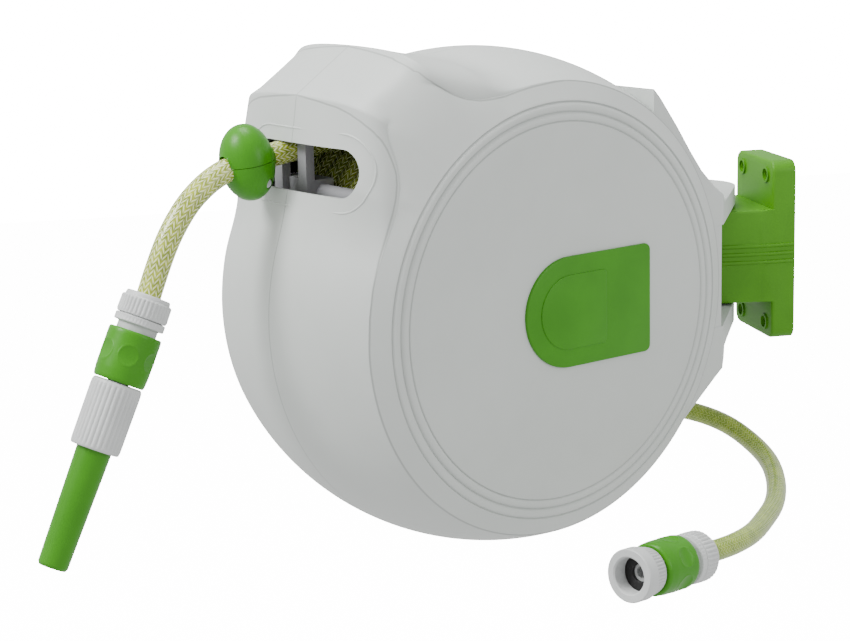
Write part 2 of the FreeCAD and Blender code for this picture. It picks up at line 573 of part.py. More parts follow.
def level_wind():
    drive_n, idler_n, screw_n = num("drive_teeth"), num("idler_teeth"), num("screw_teeth")
    module = num("gear_mod")
    near = module * (drive_n + idler_n) / 2 + 0.15
    far = module * (idler_n + screw_n) / 2 + 0.15
    screw_at = point(0, "screw_y", "screw_z")
    span = screw_at.Length
    toward = math.degrees(math.atan2(screw_at.z, screw_at.y))
    offset = math.degrees(math.acos((near ** 2 + span ** 2 - far ** 2) / (2 * near * span)))
    first = toward + offset
    idler_at = V(0, near * math.cos(math.radians(first)), near * math.sin(math.radians(first)))
    second = math.degrees(math.atan2(screw_at.z - idler_at.z, screw_at.y - idler_at.y))
    idler_phase = first + 180 + 180 / idler_n
    slip = (second - idler_phase) % (360 / idler_n)
    screw_phase = second + 180 + slip * idler_n / screw_n + 180 / screw_n
    gear("drive_gear", "drive_teeth", V(0, 0, 0), first, "40", start="spool_half + flange_thk", thick="gear_thk + 1")
    gear("idler_gear", "idler_teeth", idler_at, idler_phase, "5 + run_fit")
    gear("screw_gear", "screw_teeth", screw_at, screw_phase, "screw_rod_r - 2")
    post = cylinder(5, "disc_x - wall - gear_x + 0.6", idler_at + V(num("gear_x") - 0.6, 0, 0), (1, 0, 0))
    keep(post, "idler_post")
    rod = cylinder("screw_rod_r", "screw_half + gear_x - 0.5", screw_at + V(-num("screw_half"), 0, 0), (1, 0, 0))
    neck = cylinder("screw_rod_r - 2", 7, screw_at + V(num("gear_x") - 1, 0, 0), (1, 0, 0))
    keep(joined(rod, neck), "reversing_screw")
    rod_at = point(0, "rod_y", "rod_z")
    keep(cylinder("rod_r", "2 * rod_half", rod_at + V(-num("rod_half"), 0, 0), (1, 0, 0)), "guide_rod")
    # End plates hold the screw and the rod inside each shell's snout.
    for label, x in (("guide_end_plain_side", -num("snout_half") + 3.2), ("guide_end_gear_side", 66.0)):
        plate = joined(brick(4, 18, 71, V(x, -143, 86)), cylinder(10, 4, screw_at + V(x, 0, 0), (1, 0, 0)),
                       cylinder(8, 4, rod_at + V(x, 0, 0), (1, 0, 0)))
        screw_hole = cylinder("screw_rod_r + run_fit", 6, screw_at + V(x - 1, 0, 0), (1, 0, 0))
        rod_hole = cylinder("rod_r", 6, rod_at + V(x - 1, 0, 0), (1, 0, 0))
        keep(cut(plate, screw_hole, rod_hole), label)
    hose_x = num("hose_x")
    half = num("bar_gap") / 2 + num("bar_w")
    lower = brick("bar_gap + 2 * bar_w", 18, 19, V(hose_x - half, -144, 81.5))
    upper = brick("bar_gap + 2 * bar_w", 25, 16, V(hose_x - half, -144, 142))
    bars = [brick("bar_w", 7, 77, V(hose_x - half, -149, 81)),
            brick("bar_w", 7, 77, V(hose_x + num("bar_gap") / 2, -149, 81))]
    pin_hole = cylinder(2.2, 12, V(hose_x + half - 5, -152, 88), (0, 1, 0))
    screw_bore = cylinder("screw_rod_r + run_fit", 60, screw_at + V(hose_x - 30, 0, 0), (1, 0, 0))
    rod_bore = cylinder("rod_r + run_fit", 60, rod_at + V(hose_x - 30, 0, 0), (1, 0, 0))
    keep(cut(joined(lower, upper, *bars), pin_hole, screw_bore, rod_bore), "guide_carriage")


# ---- ratchet: holds the hose at the length that was drawn out --------------------------------------
def ratchet():
    body = new_body("ratchet")
    start = "spool_half + flange_thk + gear_thk + 1"
    disc = ring(plane_sketch(body, "YZ", start), "0", "0", "ratchet_r - tooth_depth")
    ring(disc, "0", "0", "40")
    feature(body, "Pad", disc, "ratchet_thk")
    tooth_sketch = outline(plane_sketch(body, "YZ", start), [
        ("ratchet_r - tooth_depth - 1.5", "-5"), ("ratchet_r", "0.5"), ("ratchet_r - tooth_depth - 1.5", "0.5")])
    tooth = feature(body, "Pad", tooth_sketch, "ratchet_thk")
    around(body, tooth, "ratchet_teeth", tooth_sketch)
    body.Placement = along_x(V(0, 0, 0), 6)
    keep(body, "ratchet_wheel")
    x = num(start) + 0.5
    pivot = point(x, "ratchet_r + 11", -26)
    arm = new_body("pawl")
    shape = outline(plane_sketch(arm, "YZ"), [
        ("-4", "-6"), ("5", "-6"), ("6", "4"), ("-3.5", "23.5"), ("-7.5", "23.5"), ("-6", "5")])
    feature(arm, "Pad", shape, "ratchet_thk - 1")
    feature(arm, "Pocket", ring(plane_sketch(arm, "YZ"), "0", "0", "3 + run_fit"), "ratchet_thk - 1", back=True)
    arm.Placement = along_x(pivot, 0)
    keep(arm, "ratchet_pawl")
    keep(cylinder(3, num("disc_x - wall") - x + 1.5, pivot + V(-1.5, 0, 0), (1, 0, 0)), "pawl_post")


# ---- hose stop: two nylon halves that clamp the hose outside the window ----------------------------
STOP_AT = (-184.5, 115.5)
STOP_AIM = V(0, -0.9884, -0.1520)


def hose_stop():
    at = V(num("hose_x"), *STOP_AT)
    aim = FreeCAD.Rotation(V(0, -1, 0), STOP_AIM)
    for label, low, high in (("stop_upper_half", 0, 90), ("stop_lower_half", -90, 0)):
        half = doc.addObject("Part::Ellipsoid", "stop")
        half.setExpression("Radius1", bind("stop_long"))
        half.setExpression("Radius2", bind("stop_wide"))
        half.setExpression("Radius3", bind("stop_deep"))
        half.Angle1, half.Angle2 = low, high
        half.Placement = FreeCAD.Placement(at, aim)
        bore = cylinder("hose_od / 2", "3 * stop_deep", at - STOP_AIM * 30, tuple(STOP_AIM))
        tools = [bore]
        screw_at = at + aim.multVec(V(0, 6.5, -15.5))
        if low < 0:
            tools.append(cylinder(3.6, 12, screw_at + V(9, 0, 0), (1, 0, 0)))
            tools.append(cylinder(1.8, 26, screw_at + V(-13, 0, 0), (1, 0, 0)))
        keep(cut(half, *tools), label)
    shank = cylinder(1.75, 20, screw_at + V(-11, 0, 0), (1, 0, 0))
    head = cylinder(3.3, 2.4, screw_at + V(9, 0, 0), (1, 0, 0))
    keep(joined(shank, head), "stop_screw")


# ---- delivery fittings: hose nut, quick connector, adjustable nozzle --------------------------------
NOZZLE_AT = (-267.3, 33.0)
NOZZLE_AIM = (0.0, -0.4388, -0.8986)


def ribbed(base, at, aim, first, last, radius, count):
    """Cut straight grip flutes along a turned piece."""
    depth, width = 0.7, 1.3
    facing = FreeCAD.Rotation(V(1, 0, 0), V(*aim))
    tools = []
    for k in range(count):
        angle = 2 * math.pi * k / count
        out = facing.multVec(V(0, math.cos(angle), math.sin(angle)))
        tools.append(cylinder(width, last - first, at + V(*aim) * first + out * (radius + width - depth), aim))
    return cut(base, *tools)


def connector(prefix, at, aim, hose_r, nut_r, length):
    """Quick connector: hose nut, body with a spring collar.  Distances run from the nut's hose end."""
    nut = turned_piece(None, [
        ("0", hose_r), ("0", nut_r + " - 2.4"), ("3", nut_r + " - 1.4"), ("3", nut_r + " - 0.4"), ("14.6", nut_r),
        ("16", nut_r + " - 0.8"), ("16", "12.2"), ("2", "12.2"), ("2", hose_r)], at, aim)
    keep(ribbed(nut, at, aim, 4.5, 16.5, num(nut_r), 28), prefix + "_nut")
    turned_piece(prefix + "_connector_body", [
        ("4", "5"), ("4", "12"), ("16.4", "12"), ("16.4", nut_r + " - 0.3"), ("21.5", nut_r + " - 0.3"),
        ("21.5", "14"), (length + " - 1", "14"), (length + " - 1", "10.4"), ("30", "10.4"), ("30", "5")], at, aim)
    collar = turned_piece(None, [
        ("26.5", "14.1"), ("26.5", "collar_r"), ("28", "collar_r + 0.4"), (length + " - 1.5", "collar_r - 0.2"),
        (length, "collar_r - 0.8"), (length, "14.1")], at, aim)
    dimples = []
    facing = FreeCAD.Rotation(V(1, 0, 0), V(*aim))
    for k in range(8):
        angle = math.radians(45 * k)
        out = facing.multVec(V(0, math.cos(angle), math.sin(angle)))
        spot = at + V(*aim) * (num(length) - 19) + out * (num("collar_r") + 5.2)
        ball = doc.addObject("Part::Sphere", "dimple")
        ball.Radius = 6.4
        ball.Placement = FreeCAD.Placement(spot, FreeCAD.Rotation())
        dimples.append(ball)
    keep(cut(collar, *dimples), prefix + "_collar")
    seal = torus(9.05, 1.3, at + V(*aim) * 38, aim)
    keep(seal, prefix + "_seal")


def delivery_fittings():
    at = V(num("hose_x"), *NOZZLE_AT)
    connector("outlet", at, NOZZLE_AIM, "hose_od / 2", "nut_r", "28 + collar_len")
    end = num("28 + collar_len")
    turned_piece("nozzle_sleeve", [
        ("34", "4"), ("34", "7.4"), ("%g" % (end + 0.6), "7.4"), ("%g" % (end + 0.6), "collar_r - 0.9"),
        ("%g" % (end + 4), "sleeve_r"), ("%g + sleeve_len" % (end - 2), "sleeve_r"),
        ("%g + sleeve_len" % end, "sleeve_r - 1"), ("%g + sleeve_len" % end, "barrel_r + 0.35"),
        ("%g + sleeve_len" % (end - 24), "barrel_r + 0.35"), ("%g + sleeve_len" % (end - 24), "6"),
        ("%g + sleeve_len + 6" % end, "6"), ("%g + sleeve_len + 6" % end, "4")], at, NOZZLE_AIM)
    turned_piece("nozzle_barrel", [
        ("%g + sleeve_len" % (end - 22), "6 + run_fit"), ("%g + sleeve_len" % (end - 22), "barrel_r"),
        ("%g + sleeve_len + barrel_len - 2" % end, "tip_r"), ("%g + sleeve_len + barrel_len" % end, "tip_r - 1.2"),
        ("%g + sleeve_len + barrel_len" % end, "6.5"), ("%g + sleeve_len + barrel_len - 8" % end, "jet_bore"),
        ("%g + sleeve_len + barrel_len - 16" % end, "jet_bore"), ("%g + sleeve_len + 30" % end, "6 + run_fit")],
        at, NOZZLE_AIM)


INLET_AT = (232.0, 9.0, -149.5)
INLET_AIM = (0.1560, -0.9850, 0.0741)


def inlet_fittings():
    at = V(*INLET_AT)
    connector("inlet", at, INLET_AIM, "inlet_od / 2", "nut_r", "28 + collar_len - 4")
    end = num("28 + collar_len - 4")
    turned_piece("tap_adapter", [
        ("34", "4"), ("34", "7.4"), ("%g" % (end + 0.6), "7.4"), ("%g" % (end + 0.6), "15.5"), ("%g" % (end + 4), "16.4"),
        ("%g" % (end + 12), "16.8"), ("%g" % (end + 12), "18.2"), ("%g + tap_depth" % (end + 6), "18.2"),
        ("%g + tap_depth" % (end + 8), "17.2"), ("%g + tap_depth" % (end + 8), "tap_thread_r"),
        ("%g" % (end + 10.8), "tap_thread_r"), ("%g" % (end + 10.8), "tap_thread_r + 0.6"),
        ("%g" % (end + 8), "tap_thread_r + 0.6"), ("%g" % (end + 8), "4")], at, INLET_AIM)
    turned_piece("tap_washer", [
        ("%g" % (end + 8), "6"), ("%g" % (end + 8), "tap_thread_r + 0.4"), ("%g" % (end + 10.5), "tap_thread_r + 0.4"),
        ("%g" % (end + 10.5), "6")], at, INLET_AIM)


wall_bracket()
housing_shell("gear_side_shell", 1)
housing_shell("plain_side_shell", -1)
shell_screws()
side_badge()
spool()
water_path()
level_wind()
ratchet()
cords()
hose_stop()
delivery_fittings()
inlet_fittings()
doc.recompute()

# ---- check every object, then write each sub-part ---------------------------------------------------
faults = [o.Name for o in doc.Objects if "Invalid" in o.State or "Error" in o.State]
for piece in parts:
    shape = piece.Shape
    if shape.isNull() or not shape.isValid() or not shape.Solids:
        faults.append("%s shape" % piece.Label)
if faults:
    raise RuntimeError("not built: " + ", ".join(faults))
os.makedirs("parts", exist_ok=True)
for piece in parts:
    piece.Shape.exportStep("parts/%s.step" % piece.Label)
print("%d sub-parts written" % len(parts))
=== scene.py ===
import json
import math

import bmesh
import bpy
import numpy as np
from mathutils import Matrix, Vector


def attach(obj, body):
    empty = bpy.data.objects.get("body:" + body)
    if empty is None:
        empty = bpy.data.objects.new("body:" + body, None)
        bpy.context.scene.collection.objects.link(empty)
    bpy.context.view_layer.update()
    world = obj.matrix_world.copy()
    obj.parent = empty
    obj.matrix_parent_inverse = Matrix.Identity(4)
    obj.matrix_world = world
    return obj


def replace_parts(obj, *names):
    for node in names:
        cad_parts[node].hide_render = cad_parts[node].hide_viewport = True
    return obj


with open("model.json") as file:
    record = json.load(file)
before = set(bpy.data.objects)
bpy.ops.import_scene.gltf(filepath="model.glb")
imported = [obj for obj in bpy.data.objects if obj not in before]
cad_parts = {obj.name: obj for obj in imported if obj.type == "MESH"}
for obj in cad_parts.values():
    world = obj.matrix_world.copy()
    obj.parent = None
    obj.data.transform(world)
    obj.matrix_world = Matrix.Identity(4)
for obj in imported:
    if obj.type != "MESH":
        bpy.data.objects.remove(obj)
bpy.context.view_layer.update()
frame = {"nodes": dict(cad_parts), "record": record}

# ---- View and hoses ---------------------------------------------------------------------------------
# The delivery hose and the inlet hose are clear yellow-green PVC, 17 mm and 15 mm outside, extruded
# over a white knitted yarn.  The delivery hose leaves the wound pack through the guide and the
# window; the inlet hose is clamped in a gland at the back and hangs in one loop to its tap fitting.
MM = 0.001
SWIVEL = math.radians(24.24)
HOUSING = (Matrix.Translation((0, -0.073, 0)) @ Matrix.Rotation(SWIVEL, 4, "Z")
           @ Matrix.Translation((0, -0.225, -0.005)) @ Matrix.Scale(MM, 4))

camera = bpy.data.objects.new("view", bpy.data.cameras.new("view"))
bpy.context.scene.collection.objects.link(camera)
camera.data.lens, camera.data.sensor_width = 90.54, 36.0
camera.matrix_world = Matrix(((0.22748, -0.20281, 0.95243, 1.61218),
                              (0.97350, 0.07076, -0.21745, -0.66351),
                              (-0.02330, 0.97666, 0.21353, 0.31674),
                              (0, 0, 0, 1)))
bpy.context.scene.camera = camera


def placed(name, bm, where=HOUSING, flat_over=40):
    """Turn a bmesh drawn in millimetres into an object at the origin, smooth except at sharp edges."""
    bmesh.ops.transform(bm, matrix=where, verts=bm.verts)
    mesh = bpy.data.meshes.new(name)
    bm.to_mesh(mesh)
    bm.free()
    mesh.shade_smooth()
    mesh.set_sharp_from_angle(angle=math.radians(flat_over))
    thing = bpy.data.objects.new(name, mesh)
    bpy.context.scene.collection.objects.link(thing)
    return thing


class Sock:
    """A shader socket that can be used in sums and products."""

    def __init__(self, tree, socket):
        self.tree, self.socket = tree, socket

    def maths(self, kind, *others):
        return self.tree.node("ShaderNodeMath", {"operation": kind}, self, *others)[0]

    def __add__(self, other):
        return self.maths("ADD", other)

    def __mul__(self, other):
        return self.maths("MULTIPLY", other)

    def __sub__(self, other):
        return self.maths("SUBTRACT", other)

    def __rsub__(self, other):
        return self.tree.node("ShaderNodeMath", {"operation": "SUBTRACT"}, other, self)[0]

    def __truediv__(self, other):
        return self.maths("DIVIDE", other)

    __radd__, __rmul__ = __add__, __mul__

    def fract(self):
        return self.maths("FRACT")

    def size(self):
        return self.maths("ABSOLUTE")

    def step(self, low, high):
        """0 below low, 1 above high, smooth between."""
        return self.tree.node("ShaderNodeMapRange", {"interpolation_type": "SMOOTHSTEP"}, self, low, high)[0]


class Finish:
    """A material: one Principled shader, and one method that adds any other node."""

    def __init__(self, name, **fixed):
        self.mat = bpy.data.materials.new(name)
        self.mat.use_nodes = True
        self.tree = self.mat.node_tree
        self.shader = self.tree.nodes["Principled BSDF"]
        for key, value in fixed.items():
            self.shader.inputs[key.replace("_", " ")].default_value = value

    def node(self, kind, settings=None, *inputs, **named):
        made = self.tree.nodes.new(kind)
        for key, value in (settings or {}).items():
            if key == "stops":
                ramp = made.color_ramp
                while len(ramp.elements) < len(value):
                    ramp.elements.new(0.5)
                for stop, (place, colour) in zip(ramp.elements, value):
                    stop.position, stop.color = place, (*colour, 1)
            else:
                setattr(made, key, value)
        for key, value in list(enumerate(inputs)) + list(named.items()):
            socket = made.inputs[key.replace("_", " ") if isinstance(key, str) else key]
            if isinstance(value, Sock):
                self.tree.links.new(value.socket, socket)
            elif value is not None:
                socket.default_value = value
        return [Sock(self, out) for out in made.outputs]

    def place(self):
        return self.node("ShaderNodeTexCoord")[3]

    def noise(self, scale, detail=3.0, where=None):
        return self.node("ShaderNodeTexNoise", {}, where or self.place(), Scale=scale, Detail=detail)[0]

    def mix(self, amount, one, two):
        made = self.tree.nodes.new("ShaderNodeMix")
        made.data_type = "RGBA"
        for socket, value in ((made.inputs[0], amount), (made.inputs[6], one), (made.inputs[7], two)):
            if isinstance(value, Sock):
                self.tree.links.new(value.socket, socket)
            else:
                socket.default_value = value if isinstance(value, float) else (*value[:3], 1)
        return Sock(self, made.outputs[2])

    def feed(self, name, value):
        self.tree.links.new(value.socket, self.shader.inputs[name])
        return self

    def bump(self, height, depth, strength=1.0):
        normal = self.node("ShaderNodeBump", {}, Strength=strength, Distance=depth, Height=height)[0]
        return self.feed("Normal", normal)


def braid(name, pvc, deep, yarn, columns, stitch, cover):
    """Clear PVC over knitted yarn: slanted stitches in columns that lean left and right by turns."""
    skin = Finish(name, Roughness=0.22, Coat_Weight=0.35, Coat_Roughness=0.12, IOR=1.5)
    uv = skin.node("ShaderNodeUVMap", {"uv_map": "wrap"})[0]
    around, along = skin.node("ShaderNodeSeparateXYZ", {}, uv)[:2]
    column = around * columns
    lean = (column * 0.5).fract().maths("GREATER_THAN", 0.5) * 2.0 - 1.0
    across = column.fract()
    run = (along / stitch + (across - 0.5) * lean * 1.15).fract()
    thread = 1.0 - (run - 0.5).size().step(cover * 0.5, cover * 0.5 + 0.13)
    edge = (across - 0.5).size().step(0.30, 0.5)
    thread = thread * (1.0 - edge)
    mottle = skin.noise(170.0)
    body = skin.mix(mottle.step(0.35, 0.7), deep, pvc)
    skin.feed("Base Color", skin.mix(thread * (0.75 + mottle * 0.3), body, yarn))
    skin.feed("Roughness", 0.2 + thread * 0.12)
    return skin.bump(thread * 0.6 + mottle * 0.15, 0.0004, 0.5).mat


HOSE_SKIN = braid("clear_hose_over_knit", (0.40, 0.47, 0.03), (0.20, 0.26, 0.010), (0.80, 0.84, 0.46), 20.0,
                  0.0043, 0.30)
INLET_SKIN = braid("clear_inlet_hose", (0.27, 0.38, 0.018), (0.15, 0.24, 0.008), (0.42, 0.52, 0.13), 22.0,
                   0.0034, 0.22)


def smooth_path(name, points):
    """Centreline of a hose: one open NURBS spline through given points, read back as a line."""
    curve = bpy.data.curves.new(name + "_line", "CURVE")
    curve.dimensions, curve.resolution_u = "3D", 10
    spline = curve.splines.new("NURBS")
    spline.points.add(len(points) - 1)
    for knot, p in zip(spline.points, points):
        knot.co = (*(HOUSING @ Vector(p)), 1.0)
    spline.order_u, spline.use_endpoint_u = 3, True
    holder = bpy.data.objects.new(name + "_line", curve)
    bpy.context.scene.collection.objects.link(holder)
    bpy.context.view_layer.update()
    mesh = bpy.data.meshes.new_from_object(holder.evaluated_get(bpy.context.evaluated_depsgraph_get()))
    line = [v.co.copy() for v in mesh.vertices]
    bpy.data.objects.remove(holder)
    bpy.data.curves.remove(curve)
    bpy.data.meshes.remove(mesh)
    return line


def hose(name, line, diameter, skin, sides=32):
    """Round hose along a line in metres, with a UV map that runs round it and along it in metres."""
    bm = bmesh.new()
    wrap = bm.loops.layers.uv.new("wrap")
    rings, travelled, side = [], [0.0], None
    for i, p in enumerate(line):
        ahead = (line[min(i + 1, len(line) - 1)] - line[max(i - 1, 0)]).normalized()
        if side is None:
            side = ahead.orthogonal().normalized()
        side = (side - ahead * side.dot(ahead)).normalized()
        other = ahead.cross(side)
        if i:
            travelled.append(travelled[-1] + (p - line[i - 1]).length)
        rings.append([bm.verts.new(p + (side * math.cos(a) + other * math.sin(a)) * diameter / 2)
                      for a in (2 * math.pi * k / sides for k in range(sides))])
    for i in range(len(rings) - 1):
        for k in range(sides):
            near = (k + 1) % sides
            face = bm.faces.new((rings[i][k], rings[i][near], rings[i + 1][near], rings[i + 1][k]))
            for loop, (u, v) in zip(face.loops, ((k, i), (k + 1, i), (k + 1, i + 1), (k, i + 1))):
                loop[wrap].uv = (u / sides, travelled[v])
    for end, turned_in in ((rings[0], True), (rings[-1], False)):
        bm.faces.new(list(reversed(end)) if turned_in else end)
    thing = placed(name, bm, Matrix.Identity(4))
    thing.data.materials.append(skin)
    return thing, travelled[-1]


LEAD_ROUTE = [(-94, 127.5), (-130, 122.5), (-165, 118.5), (-204, 112.5), (-230, 96.5), (-247.5, 75),
              (-260, 51), (-268.9, 29.8)]
INLET_ROUTE = [(-20, 154, -123.5), (-20, 180, -123.5), (-8, 204, -126), (14, 219, -129), (44, 224, -134),
               (77, 219, -142), (109, 205, -148), (142, 178, -153), (171, 145, -156), (193, 110, -156),
               (209, 84, -155), (221, 58, -153), (228.3, 32.6, -151.3), (232.6, 5.5, -149.2)]
HOSE_X = -18
lead_line = smooth_path("delivery", [(HOSE_X, y, z) for y, z in LEAD_ROUTE])
delivery, delivery_length = hose("delivery_hose_braided", lead_line, 0.017, HOSE_SKIN)
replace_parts(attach(delivery, "carriage"), "delivery_hose")
inlet_line = smooth_path("inlet", INLET_ROUTE)
inlet, inlet_length = hose("inlet_hose_braided", inlet_line, 0.015, INLET_SKIN)
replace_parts(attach(inlet, "housing"), "inlet_hose")

# ---- Wound hose -------------------------------------------------------------------------------------
# The rest of the delivery hose lies on the spool in three layers of eight turns.  Each turn lies
# straight and steps across to the next place over a short stretch on the lower back of the drum,
# as a level wind leaves it.
def wound_line():
    places = [-61.25 + 17.5 * k for k in range(8)]
    line, steps = [], 40
    for layer, radius in enumerate((111.5, 126.3, 141.1)):
        row = places if layer % 2 == 0 else places[::-1]
        for turn, x in enumerate(row):
            last = turn == 7
            onward = x if last else row[turn + 1]
            climb = 14.8 if last and layer < 2 else 0.0
            for k in range(steps):
                share = min(1.0, max(0.0, (k / steps - 0.84) / 0.16))
                ease = share * share * (3 - 2 * share)
                angle = math.radians(250) - 2 * math.pi * k / steps
                r = radius + climb * ease
                line.append(Vector((x + (onward - x) * ease, -r * math.cos(angle), r * math.sin(angle))))
    return [HOUSING @ p for p in line]


pack_line = wound_line()
pack, pack_length = hose("wound_hose_turns", pack_line, 0.0168, HOSE_SKIN, 14)
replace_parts(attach(pack, "spool"), "wound_hose")

# ---- Housing shells ---------------------------------------------------------------------------------
# Two injection-moulded polypropylene shells in pale grey with a fine eroded texture meet on the
# spool's middle plane and are screwed together from the plain side.  The snout grows out of the rim
# and is bounded by two creases; three fine grooves ring the flat side.
CREASE_LOW, CREASE_TOP = 46.36, 60.87
SNOUT = [(-20, 150), (-28, 174), (-107, 192), (-153.5, 161), (-165.5, 80), (-110, 50)]
# angle from the front, crease radius: the side crease runs wide of the drum round the snout
CREASE = [(0, 164.5), (14, 164.0), (21, 162.7), (27, 162.2), (32, 163.5), (38, 169), (41.8, 178), (44.6, 191),
          (46.4, 198), (53, 200), (59.8, 199), (62, 184), (65, 174), (69, 167.5), (75, 164), (84, 164.2),
          (95, 164.5), (360, 164.5)]
FLANK = [(151.6, 99.4), (150.8, 99.7), (150.0, 98.5), (149.2, 99.8), (148, 100.6), (146.5, 100.9),
         (145, 100.8), (143.8, 100.2), (143.0, 99.0), (142.2, 100.3), (141, 101.3), (139.6, 101.6),
         (138, 101.5), (137.2, 101), (136.5, 99.8), (135.8, 100.8), (135, 101), (124, 101), (110, 101),
         (92, 101), (70, 101), (45, 101), (22, 101), (6, 101)]


def between(table, at):
    for (a0, v0), (a1, v1) in zip(table, table[1:]):
        if a0 <= at <= a1:
            share = (at - a0) / (a1 - a0)
            return v0 + (v1 - v0) * share
    return table[-1][1]


def rim_radius(angle):
    """Distance from the spool axis to the rim on the middle plane."""
    dy, dz = -math.cos(math.radians(angle)), math.sin(math.radians(angle))
    best = 183.5
    for (y0, z0), (y1, z1) in zip(SNOUT, SNOUT[1:] + SNOUT[:1]):
        ey, ez = y1 - y0, z1 - z0
        turn = dy * ez - dz * ey
        if abs(turn) > 1e-9:
            far = (y0 * ez - z0 * ey) / turn
            share = (y0 * dz - z0 * dy) / turn
            if far > 0 and 0 <= share <= 1:
                best = max(best, far)
    return best


def soft_rim(angle):
    """The rim, with its foot and the valley behind the snout eased."""
    if CREASE_LOW - 2.2 <= angle <= CREASE_TOP + 2.2:
        return rim_radius(angle)
    wide = min(6.0, abs(angle - CREASE_LOW) - 2, abs(angle - CREASE_TOP) - 2)
    return sum(rim_radius(angle + wide * k / 4) for k in range(-4, 5)) / 9


def soft_crease(angle):
    return sum(between(CREASE, max(0.0, min(360.0, angle + 0.45 * k))) for k in range(-3, 4)) / 7


def rim_drop(x):
    return 232 - math.sqrt(232 ** 2 - x * x)


def band_point(angle, share):
    """Point (x, r) on the rim band: share 0 on the middle plane, 1 on the side crease."""
    r0, rc = soft_rim(angle), soft_crease(angle)
    xc = 92 - (rc - 164.5) * 0.36
    x = xc * math.sin(share * math.pi / 2)
    t = x / xc
    lift = min(1.0, max(0.0, (r0 - 183.5) / 10))
    crown = 1 - 0.65 * lift
    rest = r0 - rc - crown * rim_drop(xc)
    return x, r0 - crown * rim_drop(x) - rest * (1 - math.sqrt(max(0.0, 1 - t ** 6)))


def eased_row(angle, count_band, count_flank):
    """Between the creases the front rolls into the side without an edge."""
    r0, rc = soft_rim(angle), soft_crease(angle)
    xc = 92 - (rc - 164.5) * 0.36
    knots = [Vector(k) for k in ((0, r0), (42, r0 - 2.5), (66, r0 - 8), (xc - 0.6, rc), (88.5, 182),
                                 (95, 165), (99.4, 151.6))]
    dense = []
    for i in range(len(knots) - 1):
        p0, p1 = knots[max(i - 1, 0)], knots[i]
        p2, p3 = knots[i + 1], knots[min(i + 2, len(knots) - 1)]
        if i == 0:
            p0 = Vector((-42, p2.y))
        for k in range(8):
            t = k / 8
            dense.append(0.5 * (2 * p1 + (p2 - p0) * t + (2 * p0 - 5 * p1 + 4 * p2 - p3) * t * t
                                + (3 * p1 - p0 - 3 * p2 + p3) * t ** 3))
    dense.append(knots[-1])
    def along(points, count):
        gone = [0.0]
        for a, b in zip(points, points[1:]):
            gone.append(gone[-1] + (b - a).length)
        out = []
        for k in range(count + 1):
            want = gone[-1] * math.sin(k / count * math.pi / 2) if points[0].x < 1 else gone[-1] * k / count
            i = max(j for j in range(len(gone)) if gone[j] <= want + 1e-9)
            i = min(i, len(points) - 2)
            share = (want - gone[i]) / max(1e-9, gone[i + 1] - gone[i])
            out.append(points[i].lerp(points[i + 1], min(1.0, share)))
        return out
    return along(dense[:25], count_band), along(dense[24:], count_flank)


def shell_rows():
    band_n, flank_n = 26, 12
    angles = sorted(set([round(0.9 * k, 3) for k in range(400)]
                        + [a + d for a in (CREASE_LOW, CREASE_TOP)
                           for d in (-0.55, -0.28, -0.1, 0, 0.1, 0.28, 0.55)]))
    rows = []
    for angle in angles:
        inside = min((angle - CREASE_LOW), (CREASE_TOP - angle)) / 2.5
        weight = min(1.0, max(0.0, inside))
        weight = weight * weight * (3 - 2 * weight)
        shares = [k / band_n for k in range(band_n)] + [0.985, 0.993, 1.0]
        band = [Vector(band_point(angle, s)) for s in sorted(shares)]
        count = len(band) - 1
        xc, rc = band[-1]
        flank = []
        for k in [0.035, 0.08] + [j / flank_n for j in range(2, flank_n)]:
            flank.append(Vector((xc + (99.4 - xc) * (k if rc < 166 else k ** 0.8), rc + (151.6 - rc) * k)))
        if weight > 0:
            e_band, e_flank = eased_row(angle, count, len(flank) + 1)
            band = [a.lerp(b, weight) for a, b in zip(band, e_band)]
            flank = [a.lerp(b, weight) for a, b in zip(flank, e_flank[1:])]
        # fine V groove along each crease
        near = max(0.0, 1 - abs(angle - CREASE_LOW) / 0.12), max(0.0, 1 - abs(angle - CREASE_TOP) / 0.12)
        for p in band[:-1]:
            p.y -= 0.25 * max(near)

        rows.append((angle, band + flank + [Vector((x, r)) for r, x in FLANK]))
    return rows


def stadium(half_x, half_z, steps=14):
    """Outline (x, z) of the window, centred on it, starting at its lower right."""
    out = []
    for side in (1, -1):
        for k in range(steps + 1):
            a = side * math.radians(-90 + 180 * k / steps) if side > 0 else math.radians(90 + 180 * k / steps)
            out.append((side * (half_x - half_z) + half_z * math.cos(a), half_z * math.sin(a)))
    return out


def carve(thing, tool, kind="DIFFERENCE", solver="EXACT"):
    """Boolean of two finished meshes, baked at once."""
    cutter = thing.modifiers.new("carve", "BOOLEAN")
    cutter.object, cutter.operation, cutter.solver = tool, kind, solver
    bpy.context.view_layer.update()
    mesh = bpy.data.meshes.new_from_object(thing.evaluated_get(bpy.context.evaluated_depsgraph_get()))
    thing.modifiers.clear()
    old, thing.data = thing.data, mesh
    mesh.name = old.name
    bpy.data.meshes.remove(old)
    bpy.data.objects.remove(tool)


def extruded(bm, outline, low, high, axis="Z"):
    """Prism of an outline between two heights along an axis, drawn in millimetres."""
    order = {"Z": lambda a, b, h: (a, b, h), "Y": lambda a, b, h: (a, h, b), "X": lambda a, b,
             h: (h, a, b)}[axis]
    ends = [[bm.verts.new(order(a, b, h)) for a, b in outline] for h in (low, high)]
    made = [bm.faces.new(ends[0]), bm.faces.new(ends[1][::-1])]
    for i in range(len(outline)):
        j = (i + 1) % len(outline)
        made.append(bm.faces.new((ends[0][j], ends[0][i], ends[1][i], ends[1][j])))
    bmesh.ops.recalc_face_normals(bm, faces=made)
    return made


